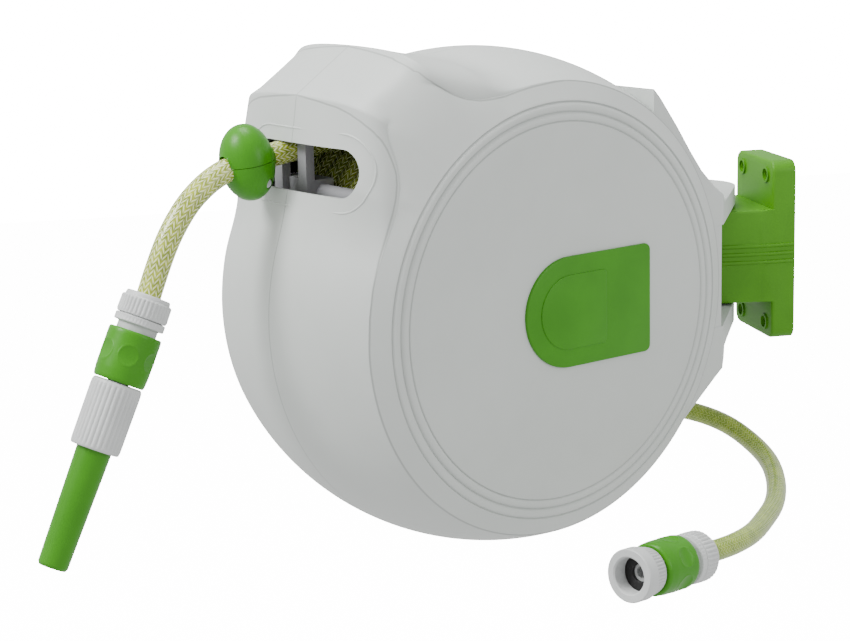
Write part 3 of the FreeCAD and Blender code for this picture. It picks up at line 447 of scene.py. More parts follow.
def bevel_mesh(bm, width, segments, picks=lambda e: True):
    edges = [e for e in bm.edges if len(e.link_faces) == 2 and e.calc_face_angle(0) > 0.5 and picks(e)]
    bmesh.ops.bevel(bm, geom=edges, offset=width, segments=segments, profile=0.5, affect="EDGES",
                    clamp_overlap=True)


GREY_SKIN = Finish("moulded_pale_grey", Roughness=0.42, Specular_IOR_Level=0.42)
fine = GREY_SKIN.noise(2600.0, 2.0)
cloud = GREY_SKIN.noise(9.0, 4.0)
scuff = GREY_SKIN.noise(60.0, 6.0)
to_crease, to_seam = GREY_SKIN.node("ShaderNodeSeparateXYZ", {},
                                    GREY_SKIN.node("ShaderNodeUVMap", {"uv_map": "lines"})[0])[:2]
# The crease and the seam show as dark lines: painted shade in their two grooves, a near-black grey laid along
# both. The same mask (cut) also dents the bump.
crease_groove_shade = 1.0 - (to_crease - 1.0).size().step(0.0003, 0.0010)
seam_groove_shade = 1.0 - (to_seam - 1.0).size().step(0.0002, 0.0007)
cut = crease_groove_shade.maths("MAXIMUM", seam_groove_shade)
tone = GREY_SKIN.mix(cloud.step(0.3, 0.7) * 0.6 + scuff * 0.4, (0.500, 0.528, 0.508), (0.545, 0.572, 0.552))
# Painted shade: the base colour darkens halfway to (0.20, 0.215, 0.205) along the crease and the seam.
GREY_SKIN.feed("Base Color", GREY_SKIN.mix(cut * 0.5, tone, (0.20, 0.215, 0.205)))
GREY_SKIN.feed("Roughness", 0.36 + fine * 0.1 + scuff * 0.08)
GREY_SKIN.bump(fine + scuff * 0.35 - cut * 3.0, 0.00012, 0.35)

# The fine crease line, half of it, as x, y, z: up round the window, and from the snout's top ridge
# down its back; the drum's edge circle joins the two.
CREASE_FRONT = [(0, -153.6, 160.8), (26, -153.5, 158.3), (48, -152.5, 155.5), (60, -151.2, 152),
                (69, -149.1, 147.6), (76.6, -145.7, 142.1), (81.6, -141.5, 135.7), (84.5, -138.4, 128.4),
                (86.8, -136.4, 120.3), (88.6, -135, 113), (90.2, -135.9, 105.1), (91.3, -138, 96.1),
                (92, -141.3, 87.3), (92.1, -147.1, 72.9), (91.8, -153.3, 57.6), (92.2, -159.5, 37.9),
                (92.4, -162.8, 18)]
CREASE_BACK = [(92.6, 1.9, 163.4), (93, -18.6, 161.6), (93, -31.2, 159.6), (92.9, -43.4, 157),
               (92.4, -54.4, 156), (91.2, -64.4, 155.8), (89, -74.8, 157.7), (86.3, -84.3, 161.4),
               (82.9, -91.4, 166.3), (80.2, -98.9, 171.5), (69.9, -107.4, 179.9), (51.4, -109.9, 186.1),
               (27.7, -109.9, 189.1), (0, -108.6, 191)]


def mark_lines(mesh, side):
    """UV map that holds, plus one, the signed distance in metres to the crease and to the seam."""
    edge = [(92.4, 164.2 * math.cos(math.radians(a)), 164.2 * math.sin(math.radians(a)))
            for a in range(182, 449, 3)]
    loop = np.array(CREASE_FRONT + edge + CREASE_BACK, float) * (side, 1, 1)
    co = np.empty(len(mesh.vertices) * 3)
    mesh.vertices.foreach_get("co", co)
    co = co.reshape(-1, 3)
    nearest, signed = np.full(len(co), 1e9), np.zeros(len(co))
    for a, b in zip(loop[:-1], loop[1:]):
        run = b - a
        share = np.clip(((co - a) @ run) / (run @ run), 0, 1)
        away = co - (a + share[:, None] * run)
        far = np.linalg.norm(away, axis=1)
        out = (a + share[:, None] * run) * (0.35, 1, 1)
        side_of = np.sign(np.einsum("ij,ij->i", np.cross(run, out), away))
        closer = far < nearest
        nearest[closer] = far[closer]
        signed[closer] = (far * side_of)[closer]
    layer = mesh.uv_layers.new(name="lines")
    verts = np.empty(len(mesh.loops), int)
    mesh.loops.foreach_get("vertex_index", verts)
    layer.data.foreach_set("uv", np.stack([1 + signed[verts] * MM, 1 + np.abs(co[verts, 0]) * MM], 1).ravel())


SCREW_SPOTS = [(-158 * math.cos(math.radians(a)), 158 * math.sin(math.radians(a)))
               for a in (78, 112, 150, 210, 244, 280, 316, 350)]
WELL_FLOOR = -85.8


def circle(across, up, radius, steps=36):
    turns = (2 * math.pi * k / steps for k in range(steps))
    return [(across + radius * math.cos(a), up + radius * math.sin(a)) for a in turns]


def screw_well(bm, y, z):
    """Moulded cup behind a screw hole; its outer end follows the sloped rim inside the wall."""
    loops = []
    for radius, x in ((4.5, -99), (4.5, WELL_FLOOR), (0.01, WELL_FLOOR), (0.01, -84.6), (6.2, -84.6),
                      (6.2, -99)):
        loop = [bm.verts.new((x, a, b)) for a, b in circle(y, z, radius)]
        if x == -99:
            for v in loop:
                v.co.x = -90.5 - 0.538 * (164.5 - math.hypot(v.co.y, v.co.z))
        loops.append(loop)
    made = []
    for here, there in zip(loops, loops[1:] + loops[:1]):
        for i in range(len(here)):
            j = (i + 1) % len(here)
            made.append(bm.faces.new((here[i], here[j], there[j], there[i])))
    bmesh.ops.recalc_face_normals(bm, faces=made)


def shell(name, side):
    bm = bmesh.new()
    grid = []
    for angle, row in shell_rows():
        c, s = -math.cos(math.radians(angle)), math.sin(math.radians(angle))
        grid.append([bm.verts.new((side * p.x, p.y * c, p.y * s)) for p in row])
    hub = bm.verts.new((side * 101, 0, 0))
    for i in range(len(grid)):
        here, there = grid[i], grid[(i + 1) % len(grid)]
        for k in range(len(here) - 1):
            bm.faces.new((here[k], there[k], there[k + 1], here[k + 1]))
        bm.faces.new((here[-1], there[-1], hub))
    bmesh.ops.recalc_face_normals(bm, faces=bm.faces)
    outward = sum(f.normal.x * side * f.calc_area() for f in bm.faces)
    if outward < 0:
        bmesh.ops.reverse_faces(bm, faces=bm.faces)
    thing = placed(name, bm, Matrix.Identity(4), 30)
    wall = thing.modifiers.new("wall", "SOLIDIFY")
    wall.thickness, wall.offset = 2.6, -1
    hole = bmesh.new()
    reach = 73 if side > 0 else 46
    extruded(hole, [(x, z + 112) for x, z in stadium(reach, 16.5, 20)], -240, -100, "Y")
    carve(thing, placed("window_tool", hole, Matrix.Identity(4)))
    if side < 0:
        wells = bmesh.new()
        for y, z in SCREW_SPOTS:
            extruded(wells, circle(y, z, 4.6), -110, WELL_FLOOR, "X")
        carve(thing, placed("well_tool", wells, Matrix.Identity(4)), solver="MANIFOLD")
    mesh = thing.data
    mark_lines(mesh, side)
    mesh.transform(HOUSING)
    mesh.shade_smooth()
    mesh.set_sharp_from_angle(angle=math.radians(32))
    return thing


def surface_y(x, z):
    """Front of the snout at a place across and up it."""
    y = -160.0
    for _ in range(12):
        angle = math.degrees(math.atan2(z, -y))
        low, high = 0.0, 1.0
        for _ in range(24):
            mid = (low + high) / 2
            low, high = (mid, high) if band_point(angle, mid)[0] < abs(x) else (low, mid)
        r = band_point(angle, low)[1]
        y = -math.sqrt(max(1.0, r * r - z * z))
    return y


def rail(bm, path, radius, sides=8):
    """Thin round bead along a path in millimetres."""
    rings = []
    side = None
    for i, p in enumerate(path):
        ahead = (path[min(i + 1, len(path) - 1)] - path[max(i - 1, 0)]).normalized()
        if side is None:
            side = ahead.orthogonal().normalized()
        side = (side - ahead * side.dot(ahead)).normalized()
        other = ahead.cross(side)
        rings.append([bm.verts.new(p + (side * math.cos(a) + other * math.sin(a)) * radius)
                      for a in (2 * math.pi * k / sides for k in range(sides))])
    for a, b in zip(rings, rings[1:]):
        for k in range(sides):
            bm.faces.new((a[k], a[(k + 1) % sides], b[(k + 1) % sides], b[k]))
    bm.faces.new(rings[0][::-1])
    bm.faces.new(rings[-1])


# Upper and lower lug: heights of the prism and the side profile (y, z) that sweeps down to the drum.
LUGS = ((41, 150, [(100, 41), (262, 41), (262, 55.5), (200, 56.5), (184, 57.5), (176, 62.5), (164, 71),
                   (150, 85), (138, 101), (125, 120), (110, 140), (100, 150)]),
        (-150, -38, [(100, -38), (100, -130), (112, -120), (132, -104), (150, -89), (165, -76.5), (180, -65),
                     (184, -57), (200, -55.5), (262, -54.5), (262, -38)]))


def pivot_block(bm, side):
    """Half of the block behind the drum and of its two lugs, which take the pivot pin."""
    reach = math.hypot(89, 53)
    lean = math.acos(35 / reach) - math.atan2(53, 89)
    sweep = [(side * 35 * math.cos(a), 225 + 35 * math.sin(a))
             for a in (lean + (math.pi / 2 - lean) * k / 14 for k in range(15))]
    outline = [(0.0, 100), (side * 89, 100), (side * 89, 172)] + sweep
    hole = [(side * 6.05 * math.cos(a), 225 + 6.05 * math.sin(a))
            for a in (math.pi / 2 - math.pi * k / 16 for k in range(17))]
    for low, high, profile in LUGS:
        plan = bmesh.new()
        extruded(plan, outline + hole, low, high)
        lug = placed("lug", plan, Matrix.Identity(4))
        flank = bmesh.new()
        extruded(flank, profile, -120, 120, "X")
        carve(lug, placed("lug_profile", flank, Matrix.Identity(4)), "INTERSECT")
        part = bmesh.new()
        part.from_mesh(lug.data)
        bpy.data.objects.remove(lug)
        bmesh.ops.dissolve_limit(part, angle_limit=0.01, verts=part.verts, edges=part.edges)
        bevel_mesh(part, 2.4, 3, lambda e: all(abs(v.co.x) > 40 and v.co.y > 101 for v in e.verts))
        scrap = bpy.data.meshes.new("scrap")
        part.to_mesh(scrap)
        part.free()
        bm.from_mesh(scrap)
        bpy.data.meshes.remove(scrap)
    middle = bmesh.new()
    extruded(middle, [(0.0, 130), (side * 88.6, 130), (side * 88.6, 171.6), (side * 60, 184), (0.0, 184)],
             -40, 43)
    bevel_mesh(middle, 2.0, 2, lambda e: all(abs(v.co.x) > 0.5 and v.co.y > 131 for v in e.verts))
    scrap = bpy.data.meshes.new("scrap")
    middle.to_mesh(scrap)
    middle.free()
    bm.from_mesh(scrap)
    bpy.data.meshes.remove(scrap)


def detail(bm, side):
    """Bead round the window and, on the plain side, the cups behind the screw holes."""
    ring = stadium(83 if side > 0 else 56, 26.5, 30)
    half = [Vector((x, surface_y(x, z + 112) + 0.25, z + 112)) for x, z in ring if x * side >= -0.01]
    if side < 0:
        half = sorted(half, key=lambda p: math.atan2(p.z - 112, p.x) % (2 * math.pi))
    else:
        half = sorted(half, key=lambda p: math.atan2(p.z - 112, p.x))
    top, bottom = max(half, key=lambda p: p.z), min(half, key=lambda p: p.z)
    ends = [Vector((side * 0.2, surface_y(0, z) + 0.25, z)) for z in (top.z, bottom.z)]
    half = ([ends[1]] + half + [ends[0]]) if side > 0 else ([ends[0]] + half + [ends[1]])
    rail(bm, half, 0.85)
    if side < 0:
        for y, z in SCREW_SPOTS:
            screw_well(bm, y, z)


SIDES = (("shell_gear_side_skin", 1, "gear_side_shell"), ("shell_plain_side_skin", -1, "plain_side_shell"))
for name, side, node in SIDES:
    main = shell(name, side)
    for draw in (pivot_block, detail):
        bm = bmesh.new()
        draw(bm, side)
        extra = placed("extra", bm, HOUSING, 35)
        joined = bmesh.new()
        joined.from_mesh(main.data)
        joined.from_mesh(extra.data)
        joined.to_mesh(main.data)
        joined.free()
        bpy.data.objects.remove(extra)
    main.data.materials.clear()
    main.data.materials.append(GREY_SKIN.mat)
    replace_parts(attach(main, "housing"), node)

# ---- Shell screws -----------------------------------------------------------------------------------
# Eight zinc-plated pan-head screws with a cross recess.  Each sits at the floor of its own well in the
# plain side and clamps the two shells together; one node tree sets the same screw at every well.
def plated(name, colour, rough, scale):
    skin = Finish(name, Metallic=1.0)
    grain = skin.noise(scale, 4.0)
    bloom = skin.noise(scale / 12, 3.0)
    skin.feed("Base Color", skin.mix(bloom.step(0.3, 0.72), [c * 0.8 for c in colour], colour))
    skin.feed("Roughness", rough + grain * 0.14)
    return skin.bump(grain, 0.00004, 0.4).mat


ZINC = plated("zinc_plate", (0.62, 0.63, 0.66), 0.28, 700.0)


def screw_tree():
    """Points in, screws out: a crowned head cut by a cross, and its shank, at every point."""
    tree = bpy.data.node_groups.new("screw_at_each_well", "GeometryNodeTree")
    tree.interface.new_socket("Wells", in_out="INPUT", socket_type="NodeSocketGeometry")
    for label, size in (("Head radius", 4.2), ("Head height", 3.0), ("Shank radius", 2.0),
                        ("Shank length", 103.8), ("Cross length", 4.6), ("Cross width", 0.9),
                        ("Cross depth", 1.5)):
        tree.interface.new_socket(label, in_out="INPUT", socket_type="NodeSocketFloat").default_value = size
    tree.interface.new_socket("Finish", in_out="INPUT", socket_type="NodeSocketMaterial")
    tree.interface.new_socket("Screws", in_out="OUTPUT", socket_type="NodeSocketGeometry")
    given = tree.nodes.new("NodeGroupInput").outputs
    shown = tree.nodes.new("NodeGroupOutput").inputs

    def add(kind, settings=None, **links):
        node = tree.nodes.new(kind)
        for key, value in (settings or {}).items():
            setattr(node, key, value)
        for key, value in links.items():
            socket = node.inputs[key.replace("_", " ")]
            if isinstance(value, bpy.types.NodeSocket):
                tree.links.new(value, socket)
            else:
                socket.default_value = value
        return node

    def scaled(value, factor):
        node = add("ShaderNodeMath", {"operation": "MULTIPLY"})
        tree.links.new(value, node.inputs[0])
        node.inputs[1].default_value = factor
        return node.outputs[0]

    def rod(radius, length, sides):
        return add("GeometryNodeMeshCylinder", None, Vertices=sides, Radius=radius,
                   Depth=length).outputs["Mesh"]

    def lifted(mesh, height):
        up = add("ShaderNodeCombineXYZ", None, Z=height)
        return add("GeometryNodeTransform", None, Geometry=mesh, Translation=up.outputs[0]).outputs[0]

    head = lifted(rod(given["Head radius"], given["Head height"], 40), scaled(given["Head height"], 0.5))
    crown = add("GeometryNodeMeshUVSphere", None, Segments=40, Rings=20,
                Radius=scaled(given["Head radius"], 1.3))
    dome = lifted(crown.outputs["Mesh"], scaled(given["Head radius"], -0.58))
    capped = add("GeometryNodeMeshBoolean", {"operation": "INTERSECT"})
    tree.links.new(head, capped.inputs["Mesh 2"])
    tree.links.new(dome, capped.inputs["Mesh 2"])
    arms = []
    for across, along in (("Cross length", "Cross width"), ("Cross width", "Cross length")):
        size = add("ShaderNodeCombineXYZ", None, X=given[across], Y=given[along],
                   Z=scaled(given["Cross depth"], 2.0))
        arms.append(lifted(add("GeometryNodeMeshCube", None, Size=size.outputs[0]).outputs["Mesh"],
                           given["Head height"]))
    slotted = add("GeometryNodeMeshBoolean", {"operation": "DIFFERENCE"})
    tree.links.new(capped.outputs[0], slotted.inputs["Mesh 1"])
    for arm in arms:
        tree.links.new(arm, slotted.inputs["Mesh 2"])
    shank = lifted(rod(given["Shank radius"], given["Shank length"], 24),
                   scaled(given["Shank length"], -0.499))
    both = add("GeometryNodeJoinGeometry")
    tree.links.new(slotted.outputs[0], both.inputs[0])
    tree.links.new(shank, both.inputs[0])
    spots = add("GeometryNodeMeshToPoints", None, Mesh=given["Wells"])
    placing = add("GeometryNodeInstanceOnPoints", None, Points=spots.outputs[0], Instance=both.outputs[0],
                  Rotation=(0.0, -math.pi / 2, 0.0))
    real = add("GeometryNodeRealizeInstances", None, Geometry=placing.outputs[0])
    coated = add("GeometryNodeSetMaterial", None, Geometry=real.outputs[0], Material=given["Finish"])
    tree.links.new(coated.outputs[0], shown["Screws"])
    return tree


def set_screws():
    seats = bpy.data.meshes.new("well_floors")
    seats.from_pydata([(WELL_FLOOR - 0.15, y, z) for y, z in SCREW_SPOTS], [], [])
    holder = bpy.data.objects.new("shell_screw_set", seats)
    bpy.context.collection.objects.link(holder)
    step = holder.modifiers.new("screws", "NODES")
    step.node_group = screw_tree()
    for item in step.node_group.interface.items_tree:
        if item.in_out == "INPUT" and item.name == "Finish":
            step[item.identifier] = ZINC
        elif item.in_out == "INPUT" and item.name == "Head radius":
            step[item.identifier] = 4.1
    bpy.context.view_layer.update()
    mesh = bpy.data.meshes.new_from_object(holder.evaluated_get(bpy.context.evaluated_depsgraph_get()))
    holder.modifiers.clear()
    holder.data = mesh
    mesh.transform(HOUSING)
    mesh.shade_smooth()
    mesh.set_sharp_from_angle(angle=math.radians(40))
    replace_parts(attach(holder, "housing"), "shell_screws")


set_screws()

# ---- Side badge -------------------------------------------------------------------------------------
# A D-shaped snap-in plate of gloss green ABS in the middle of the flat side, with a smaller raised D
# on it.  It is clipped into the gear-side shell and carries no lettering here.
def gloss(name, colour, rough, coat, grain=0.00005, shine=0.5):
    skin = Finish(name, Specular_IOR_Level=shine, Coat_Roughness=0.15)
    speck = skin.noise(1900.0, 2.0)
    haze = skin.noise(24.0, 5.0)
    dark = [c * 0.86 for c in colour]
    skin.feed("Base Color", skin.mix(haze.step(0.3, 0.7), dark, colour))
    skin.feed("Roughness", rough + haze * 0.1 + speck * 0.04)
    skin.shader.inputs["Coat Weight"].default_value = coat
    return skin.bump(speck + haze * 0.5, grain, 0.35).mat


GREEN_SKIN = gloss("gloss_green", (0.040, 0.235, 0.0), 0.30, 0.0, shine=0.3)


def d_shape(radius, back, corner):
    """D with its round end at the front; y, z pairs."""
    out = [(5 - radius * math.cos(a), radius * math.sin(a))
           for a in (math.pi / 2 - math.pi * k / 40 for k in range(41))]
    for sign in (-1, 1):
        for k in range(7):
            a = math.pi / 2 * (k / 6 if sign < 0 else 1 - k / 6)
            out.append((back - corner + corner * math.sin(a),
                        sign * (radius - corner + corner * math.cos(a))))
    return out


def badge_mesh(bm):
    for radius, back, corner, low, high, round_off in ((40.3, 83, 5, 99.8, 103.2, 0.9),
                                                       (27.0, 39.6, 3.5, 103.0, 104.0, 0.5)):
        part = bmesh.new()
        extruded(part, d_shape(radius, back, corner), low, high, "X")
        bevel_mesh(part, round_off, 3, lambda e: all(v.co.x > high - 0.01 for v in e.verts))
        scrap = bpy.data.meshes.new("scrap")
        part.to_mesh(scrap)
        part.free()
        bm.from_mesh(scrap)
        bpy.data.meshes.remove(scrap)


bm = bmesh.new()
badge_mesh(bm)
badge = placed("badge_plate", bm, HOUSING, 50)
badge.data.materials.append(GREEN_SKIN)
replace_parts(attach(badge, "housing"), "side_badge")

# ---- Wall bracket -----------------------------------------------------------------------------------
# One moulding of glass-filled green nylon: a thick slab for four wall screws, and an arm whose end
# fits between the housing's lugs and is bored for the steel pivot pin.
BRACKET_SKIN = gloss("satin_green_nylon", (0.062, 0.250, 0.0005), 0.42, 0.0, 0.00012, shine=0.3)
WORLD_MM = Matrix.Scale(MM, 4)


def rounded_box(half_x, half_z, corner, steps=8):
    out = []
    for cx, cz, start in ((1, 1, 0), (-1, 1, 90), (-1, -1, 180), (1, -1, 270)):
        for k in range(steps + 1):
            a = math.radians(start + 90 * k / steps)
            out.append((cx * (half_x - corner) + corner * math.cos(a),
                        cz * (half_z - corner) + corner * math.sin(a)))
    return out


def bracket_mesh():
    slab = bmesh.new()
    extruded(slab, rounded_box(40, 72, 9), -19, 0, "Y")
    bevel_mesh(slab, 2.2, 3, lambda e: all(v.co.y < -18.9 for v in e.verts))
    body = placed("bracket_moulding", slab, Matrix.Identity(4), 40)
    arm = bmesh.new()
    tip = [(34 * math.cos(a), -73 + 34 * math.sin(a)) for a in (-math.pi * k / 28 for k in range(29))]
    extruded(arm, [(-40, -10), (40, -10), (40, -30)] + tip + [(-40, -30)], -41, 34, "Z")
    bevel_mesh(arm, 2.4, 3, lambda e: all(v.co.y < -19.5 for v in e.verts)
               and abs(e.verts[0].co.z - e.verts[1].co.z) < 0.1)
    carve(body, placed("arm", arm, Matrix.Identity(4)), "UNION")
    for x in (-25, 25):
        for z in (-60, 60):
            boss = bmesh.new()
            circle = lambda r: [(x + r * math.cos(a), z + r * math.sin(a)) for a in
                                (2 * math.pi * k / 32 for k in range(32))]
            extruded(boss, circle(6.4), -20.4, -5, "Y")
            bevel_mesh(boss, 0.7, 2, lambda e: all(v.co.y < -20.5 for v in e.verts))
            carve(body, placed("boss", boss, Matrix.Identity(4)), "UNION")
            hole = bmesh.new()
            extruded(hole, circle(3.2), -30, 5, "Y")
            carve(body, placed("hole", hole, Matrix.Identity(4)))
            sink = bmesh.new()
            extruded(sink, circle(4.7), -30, -18.6, "Y")
            carve(body, placed("sink", sink, Matrix.Identity(4)))
    bore = bmesh.new()
    extruded(bore, [(6.05 * math.cos(a), -73 + 6.05 * math.sin(a)) for a in
                    (2 * math.pi * k / 40 for k in range(40))], -60, 60, "Z")
    carve(body, placed("bore", bore, Matrix.Identity(4)))
    ribs = bmesh.new()
    for side in (-1, 1):
        for z in (-8.2, -1.6, 5.0):
            rail(ribs, [Vector((side * x, y, z)) for x,
                        y in ((39.6, -1), (39.6, -12), (39.6, -24), (39.2, -30),
                                                              (36.9, -50), (34.2, -70))], 1.7, sides=12)
    extra = placed("ribs", ribs, Matrix.Identity(4), 60)
    joined = bmesh.new()
    joined.from_mesh(body.data)
    joined.from_mesh(extra.data)
    joined.to_mesh(body.data)
    joined.free()
    bpy.data.objects.remove(extra)
    body.data.transform(WORLD_MM)
    body.data.shade_smooth()
    body.data.set_sharp_from_angle(angle=math.radians(38))
    return body


bracket = bracket_mesh()
bracket.data.materials.append(BRACKET_SKIN)
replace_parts(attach(bracket, "bracket"), "wall_bracket")

# ---- Hose stop --------------------------------------------------------------------------------------
# A green nylon egg in two halves, clamped on the hose by one screw so that the reel can't draw the
# hose's end inside.  The split line and the screw's sunk hole show on the near side.
STOP_AT, STOP_AIM = Vector((HOSE_X, -184.5, 115.5)), Vector((0, -0.9884, -0.1520))


def framed(at, aim):
    """Matrix from a piece's own axes (Z along aim, X across the housing) to the housing frame."""
    z = Vector(aim).normalized()
    x = Vector((1, 0, 0)) - z * z.x
    x.normalize()
    return Matrix.Translation(at) @ Matrix((x, z.cross(x), z)).transposed().to_4x4()


def egg_half(sign, name):
    bm = bmesh.new()
    around, along = 40, 36
    rows = []
    for i in range(along + 1):
        t = math.pi * i / along
        z = -18.5 * math.cos(t)
        reach = 8.45
        row = []
        for k in range(around + 1):
            a = math.pi * k / around
            wide, tall = 20.5 * math.sin(t) ** 0.95, 27.0 * math.sin(t) ** 0.95
            x, y = wide * math.cos(a), tall * math.sin(a)
            far = math.hypot(x, y)
            if far < reach:
                x, y = reach * math.cos(a), reach * math.sin(a)
            row.append(bm.verts.new((x, sign * (max(y, 0.0) + 0.2), z)))
        rows.append(row)
    for a, b in zip(rows, rows[1:]):
        for k in range(around):
            bm.faces.new((a[k], a[k + 1], b[k + 1], b[k]))
    inner = [[bm.verts.new((8.5 * math.cos(math.pi * k / around),
                            sign * (8.5 * math.sin(math.pi * k / around) + 0.2), rows[i][0].co.z))
              for k in range(around + 1)] for i in range(along + 1)]
    for a, b in zip(inner, inner[1:]):
        for k in range(around):
            bm.faces.new((a[k + 1], a[k], b[k], b[k + 1]))
    for i in range(along):
        for k in (0, around):
            quad = (rows[i][k], rows[i + 1][k], inner[i + 1][k], inner[i][k])
            bm.faces.new(quad if k == 0 else quad[::-1])
    bmesh.ops.remove_doubles(bm, verts=bm.verts, dist=0.02)
    bmesh.ops.recalc_face_normals(bm, faces=bm.faces)
    half = placed(name, bm, Matrix.Identity(4), 50)
    return half


STOP_FRAME = framed(STOP_AT, STOP_AIM)
for sign, name, node in ((1, "stop_upper_shell", "stop_upper_half"),
                         (-1, "stop_lower_shell", "stop_lower_half")):
    half = egg_half(sign, name)
    if sign < 0:
        for radius, low, high in ((3.9, 9.5, 40), (1.9, -40, 40)):
            drill = bmesh.new()
            extruded(drill, [(-15.5 + radius * math.cos(a), -6.5 + radius * math.sin(a)) for a in
                             (2 * math.pi * k / 28 for k in range(28))], low, high, "X")
            carve(half, placed("drill", drill, Matrix.Identity(4)))
    half.data.transform(HOUSING @ STOP_FRAME)
    half.data.shade_smooth()
    half.data.set_sharp_from_angle(angle=math.radians(50))
    half.data.materials.append(GREEN_SKIN)
    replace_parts(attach(half, "carriage"), node)

# ---- Hose fittings ----------------------------------------------------------------------------------
# Snap-on fittings in ABS: fluted light-grey hose nuts, connector bodies with a shoulder ring, green
# sliding collars with thumb dimples, and an adjustable nozzle of a ribbed grey sleeve and a tapered
# green barrel.  The inlet side ends in a threaded tap adapter with a black washer.
FITTING_GREY = gloss("satin_light_grey", (0.560, 0.575, 0.570), 0.40, 0.0, 0.0001)
RUBBER = gloss("black_nitrile", (0.018, 0.018, 0.018), 0.55, 0.0, 0.0002)


def turned_part(name, profile, at, aim, body, node, skin, shape=None, steps=120, fine_step=0.8,
                crisp=40):
    """Closed ring of revolution from (s, r) pairs; shape(s, angle, r) may cut flutes and dimples."""
    outline = []
    closed = list(profile) + [profile[0]]
    for (s0, r0), (s1, r1) in zip(closed, closed[1:]):
        count = max(1, int(math.hypot(s1 - s0, r1 - r0) / fine_step)) if shape else 1
        outline += [(s0 + (s1 - s0) * k / count, r0 + (r1 - r0) * k / count) for k in range(count)]
    outer = max(r for _, r in profile)
    bm = bmesh.new()
    rings = []
    for s, r in outline:
        ring = []
        for k in range(steps):
            a = 2 * math.pi * k / steps
            real = shape(s, a, r) if shape and r > outer * 0.8 else r
            ring.append(bm.verts.new((real * math.cos(a), real * math.sin(a), s)))
        rings.append(ring)
    for i, here in enumerate(rings):
        there = rings[(i + 1) % len(rings)]
        for k in range(steps):
            near = (k + 1) % steps
            bm.faces.new((here[k], here[near], there[near], there[k]))
    bmesh.ops.recalc_face_normals(bm, faces=bm.faces)
    thing = placed(name, bm, HOUSING @ framed(at, aim), crisp)
    thing.data.materials.append(skin)
    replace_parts(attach(thing, body), node)
    return thing


def flutes(first, last, count, depth):
    def shape(s, a, r):
        if not first <= s <= last:
            return r
        fade = min(1.0, (s - first) / 1.2, (last - s) / 1.2)
        wave = 0.5 + 0.5 * math.cos(a * count)
        return r - depth * fade * (1 - wave ** 0.6)
    return shape


def dimpled(mid, reach, depth):
    """Thumb dimples: six round ones with a low raised lip, spaced evenly round the collar."""
    def shape(s, a, r):
        cell = (a / (2 * math.pi) * 6) % 1 - 0.5
        across = cell / 6 * 2 * math.pi * r
        off = math.hypot(across, (s - mid) * (1.0 if cell > -2 else 1.2))
        bowl = max(0.0, 1 - (off / reach) ** 2)
        rim = max(0.0, 1 - abs(off - reach) / 0.9)
        return r - depth * bowl + 0.25 * rim
    return shape


def connector(side, at, aim, hose_r, length, body, lock):
    """Quick connector on a hose's end; each profile runs in (distance from the hose end, radius)."""
    nut = [(0, hose_r), (0, 14.8), (0.8, 15.4), (3, 15.8), (3.4, 17.0), (4.2, 17.6), (14, 17.8), (15.6, 17.2),
           (16, 16.6), (16, 12.2), (2, 12.2), (2, hose_r)]
    turned_part(side + "_nut_fluted", nut, at, aim, body, side + "_nut", FITTING_GREY,
                flutes(3.6, 15.4, 36, 0.8), 288, 0.7, 50)
    ring = [(4, 5), (4, 12), (16.4, 12), (16.4, 16.9), (16.9, 17.5), (21.0, 17.5), (21.5, 17.0), (21.8, 14.4),
            (22.2, 14), (length - 1, 14), (length - 1, 10.4), (30, 10.4), (30, 5)]
    turned_part(side + "_body_ring", ring, at, aim, body, side + "_connector_body", FITTING_GREY,
                flutes(17, 21, 44, 0.35), 264, 0.7, 50)
    collar = [(26.5, 14.1), (26.5, 17.6), (27.1, 18.3), (29, 18.6), (length - 8, 18.5), (length - 2, 18.0),
              (length - 0.5, 17.5), (length, 16.8), (length, 14.1)]
    turned_part(side + "_collar_dimpled", collar, at, aim, lock, side + "_collar", GREEN_SKIN,
                dimpled(length - 19, 7.0, 1.3), 300, 0.8, 60)


NOZZLE_AT, NOZZLE_AIM = Vector((HOSE_X, -267.3, 33.0)), Vector((0, -0.4388, -0.8986))
INLET_AT, INLET_AIM = Vector((232.0, 9.0, -149.5)), Vector((0.1560, -0.9850, 0.0741))
connector("outlet", NOZZLE_AT, NOZZLE_AIM, 8.5, 62, "carriage", "outlet_lock")
connector("inlet", INLET_AT, INLET_AIM, 7.5, 58, "housing", "inlet_lock")


def sleeve_ribs(s, a, r):
    """Straight grip ribs over nearly the whole sleeve."""
    if not 64 < s < 109:
        return r
    fade = min(1.0, (s - 64) / 2.5, (109 - s) / 2.5)
    return r - 0.8 * fade * (1 - (0.5 + 0.5 * math.cos(30 * a)) ** 0.5)


SLEEVE = [(34, 4), (34, 7.4), (62.6, 7.4), (62.6, 15.9), (63.2, 16.8), (65, 17.5), (68, 17.7), (107, 17.4),
          (109.4, 16.9), (110, 16.2), (110, 12.95), (86, 12.95), (86, 6), (116, 6), (116, 4)]
turned_part("nozzle_sleeve_ribbed", SLEEVE, NOZZLE_AT, NOZZLE_AIM, "carriage", "nozzle_sleeve", FITTING_GREY,
            sleeve_ribs, 300, 0.9, 50)


def tap_ribs(s, a, r):
    """Fine grip ribs behind the smooth front ring."""
    if not 59.6 < s < 69.8:
        return r
    return r - 0.8 * (1 - (0.5 + 0.5 * math.cos(44 * a)) ** 0.5)


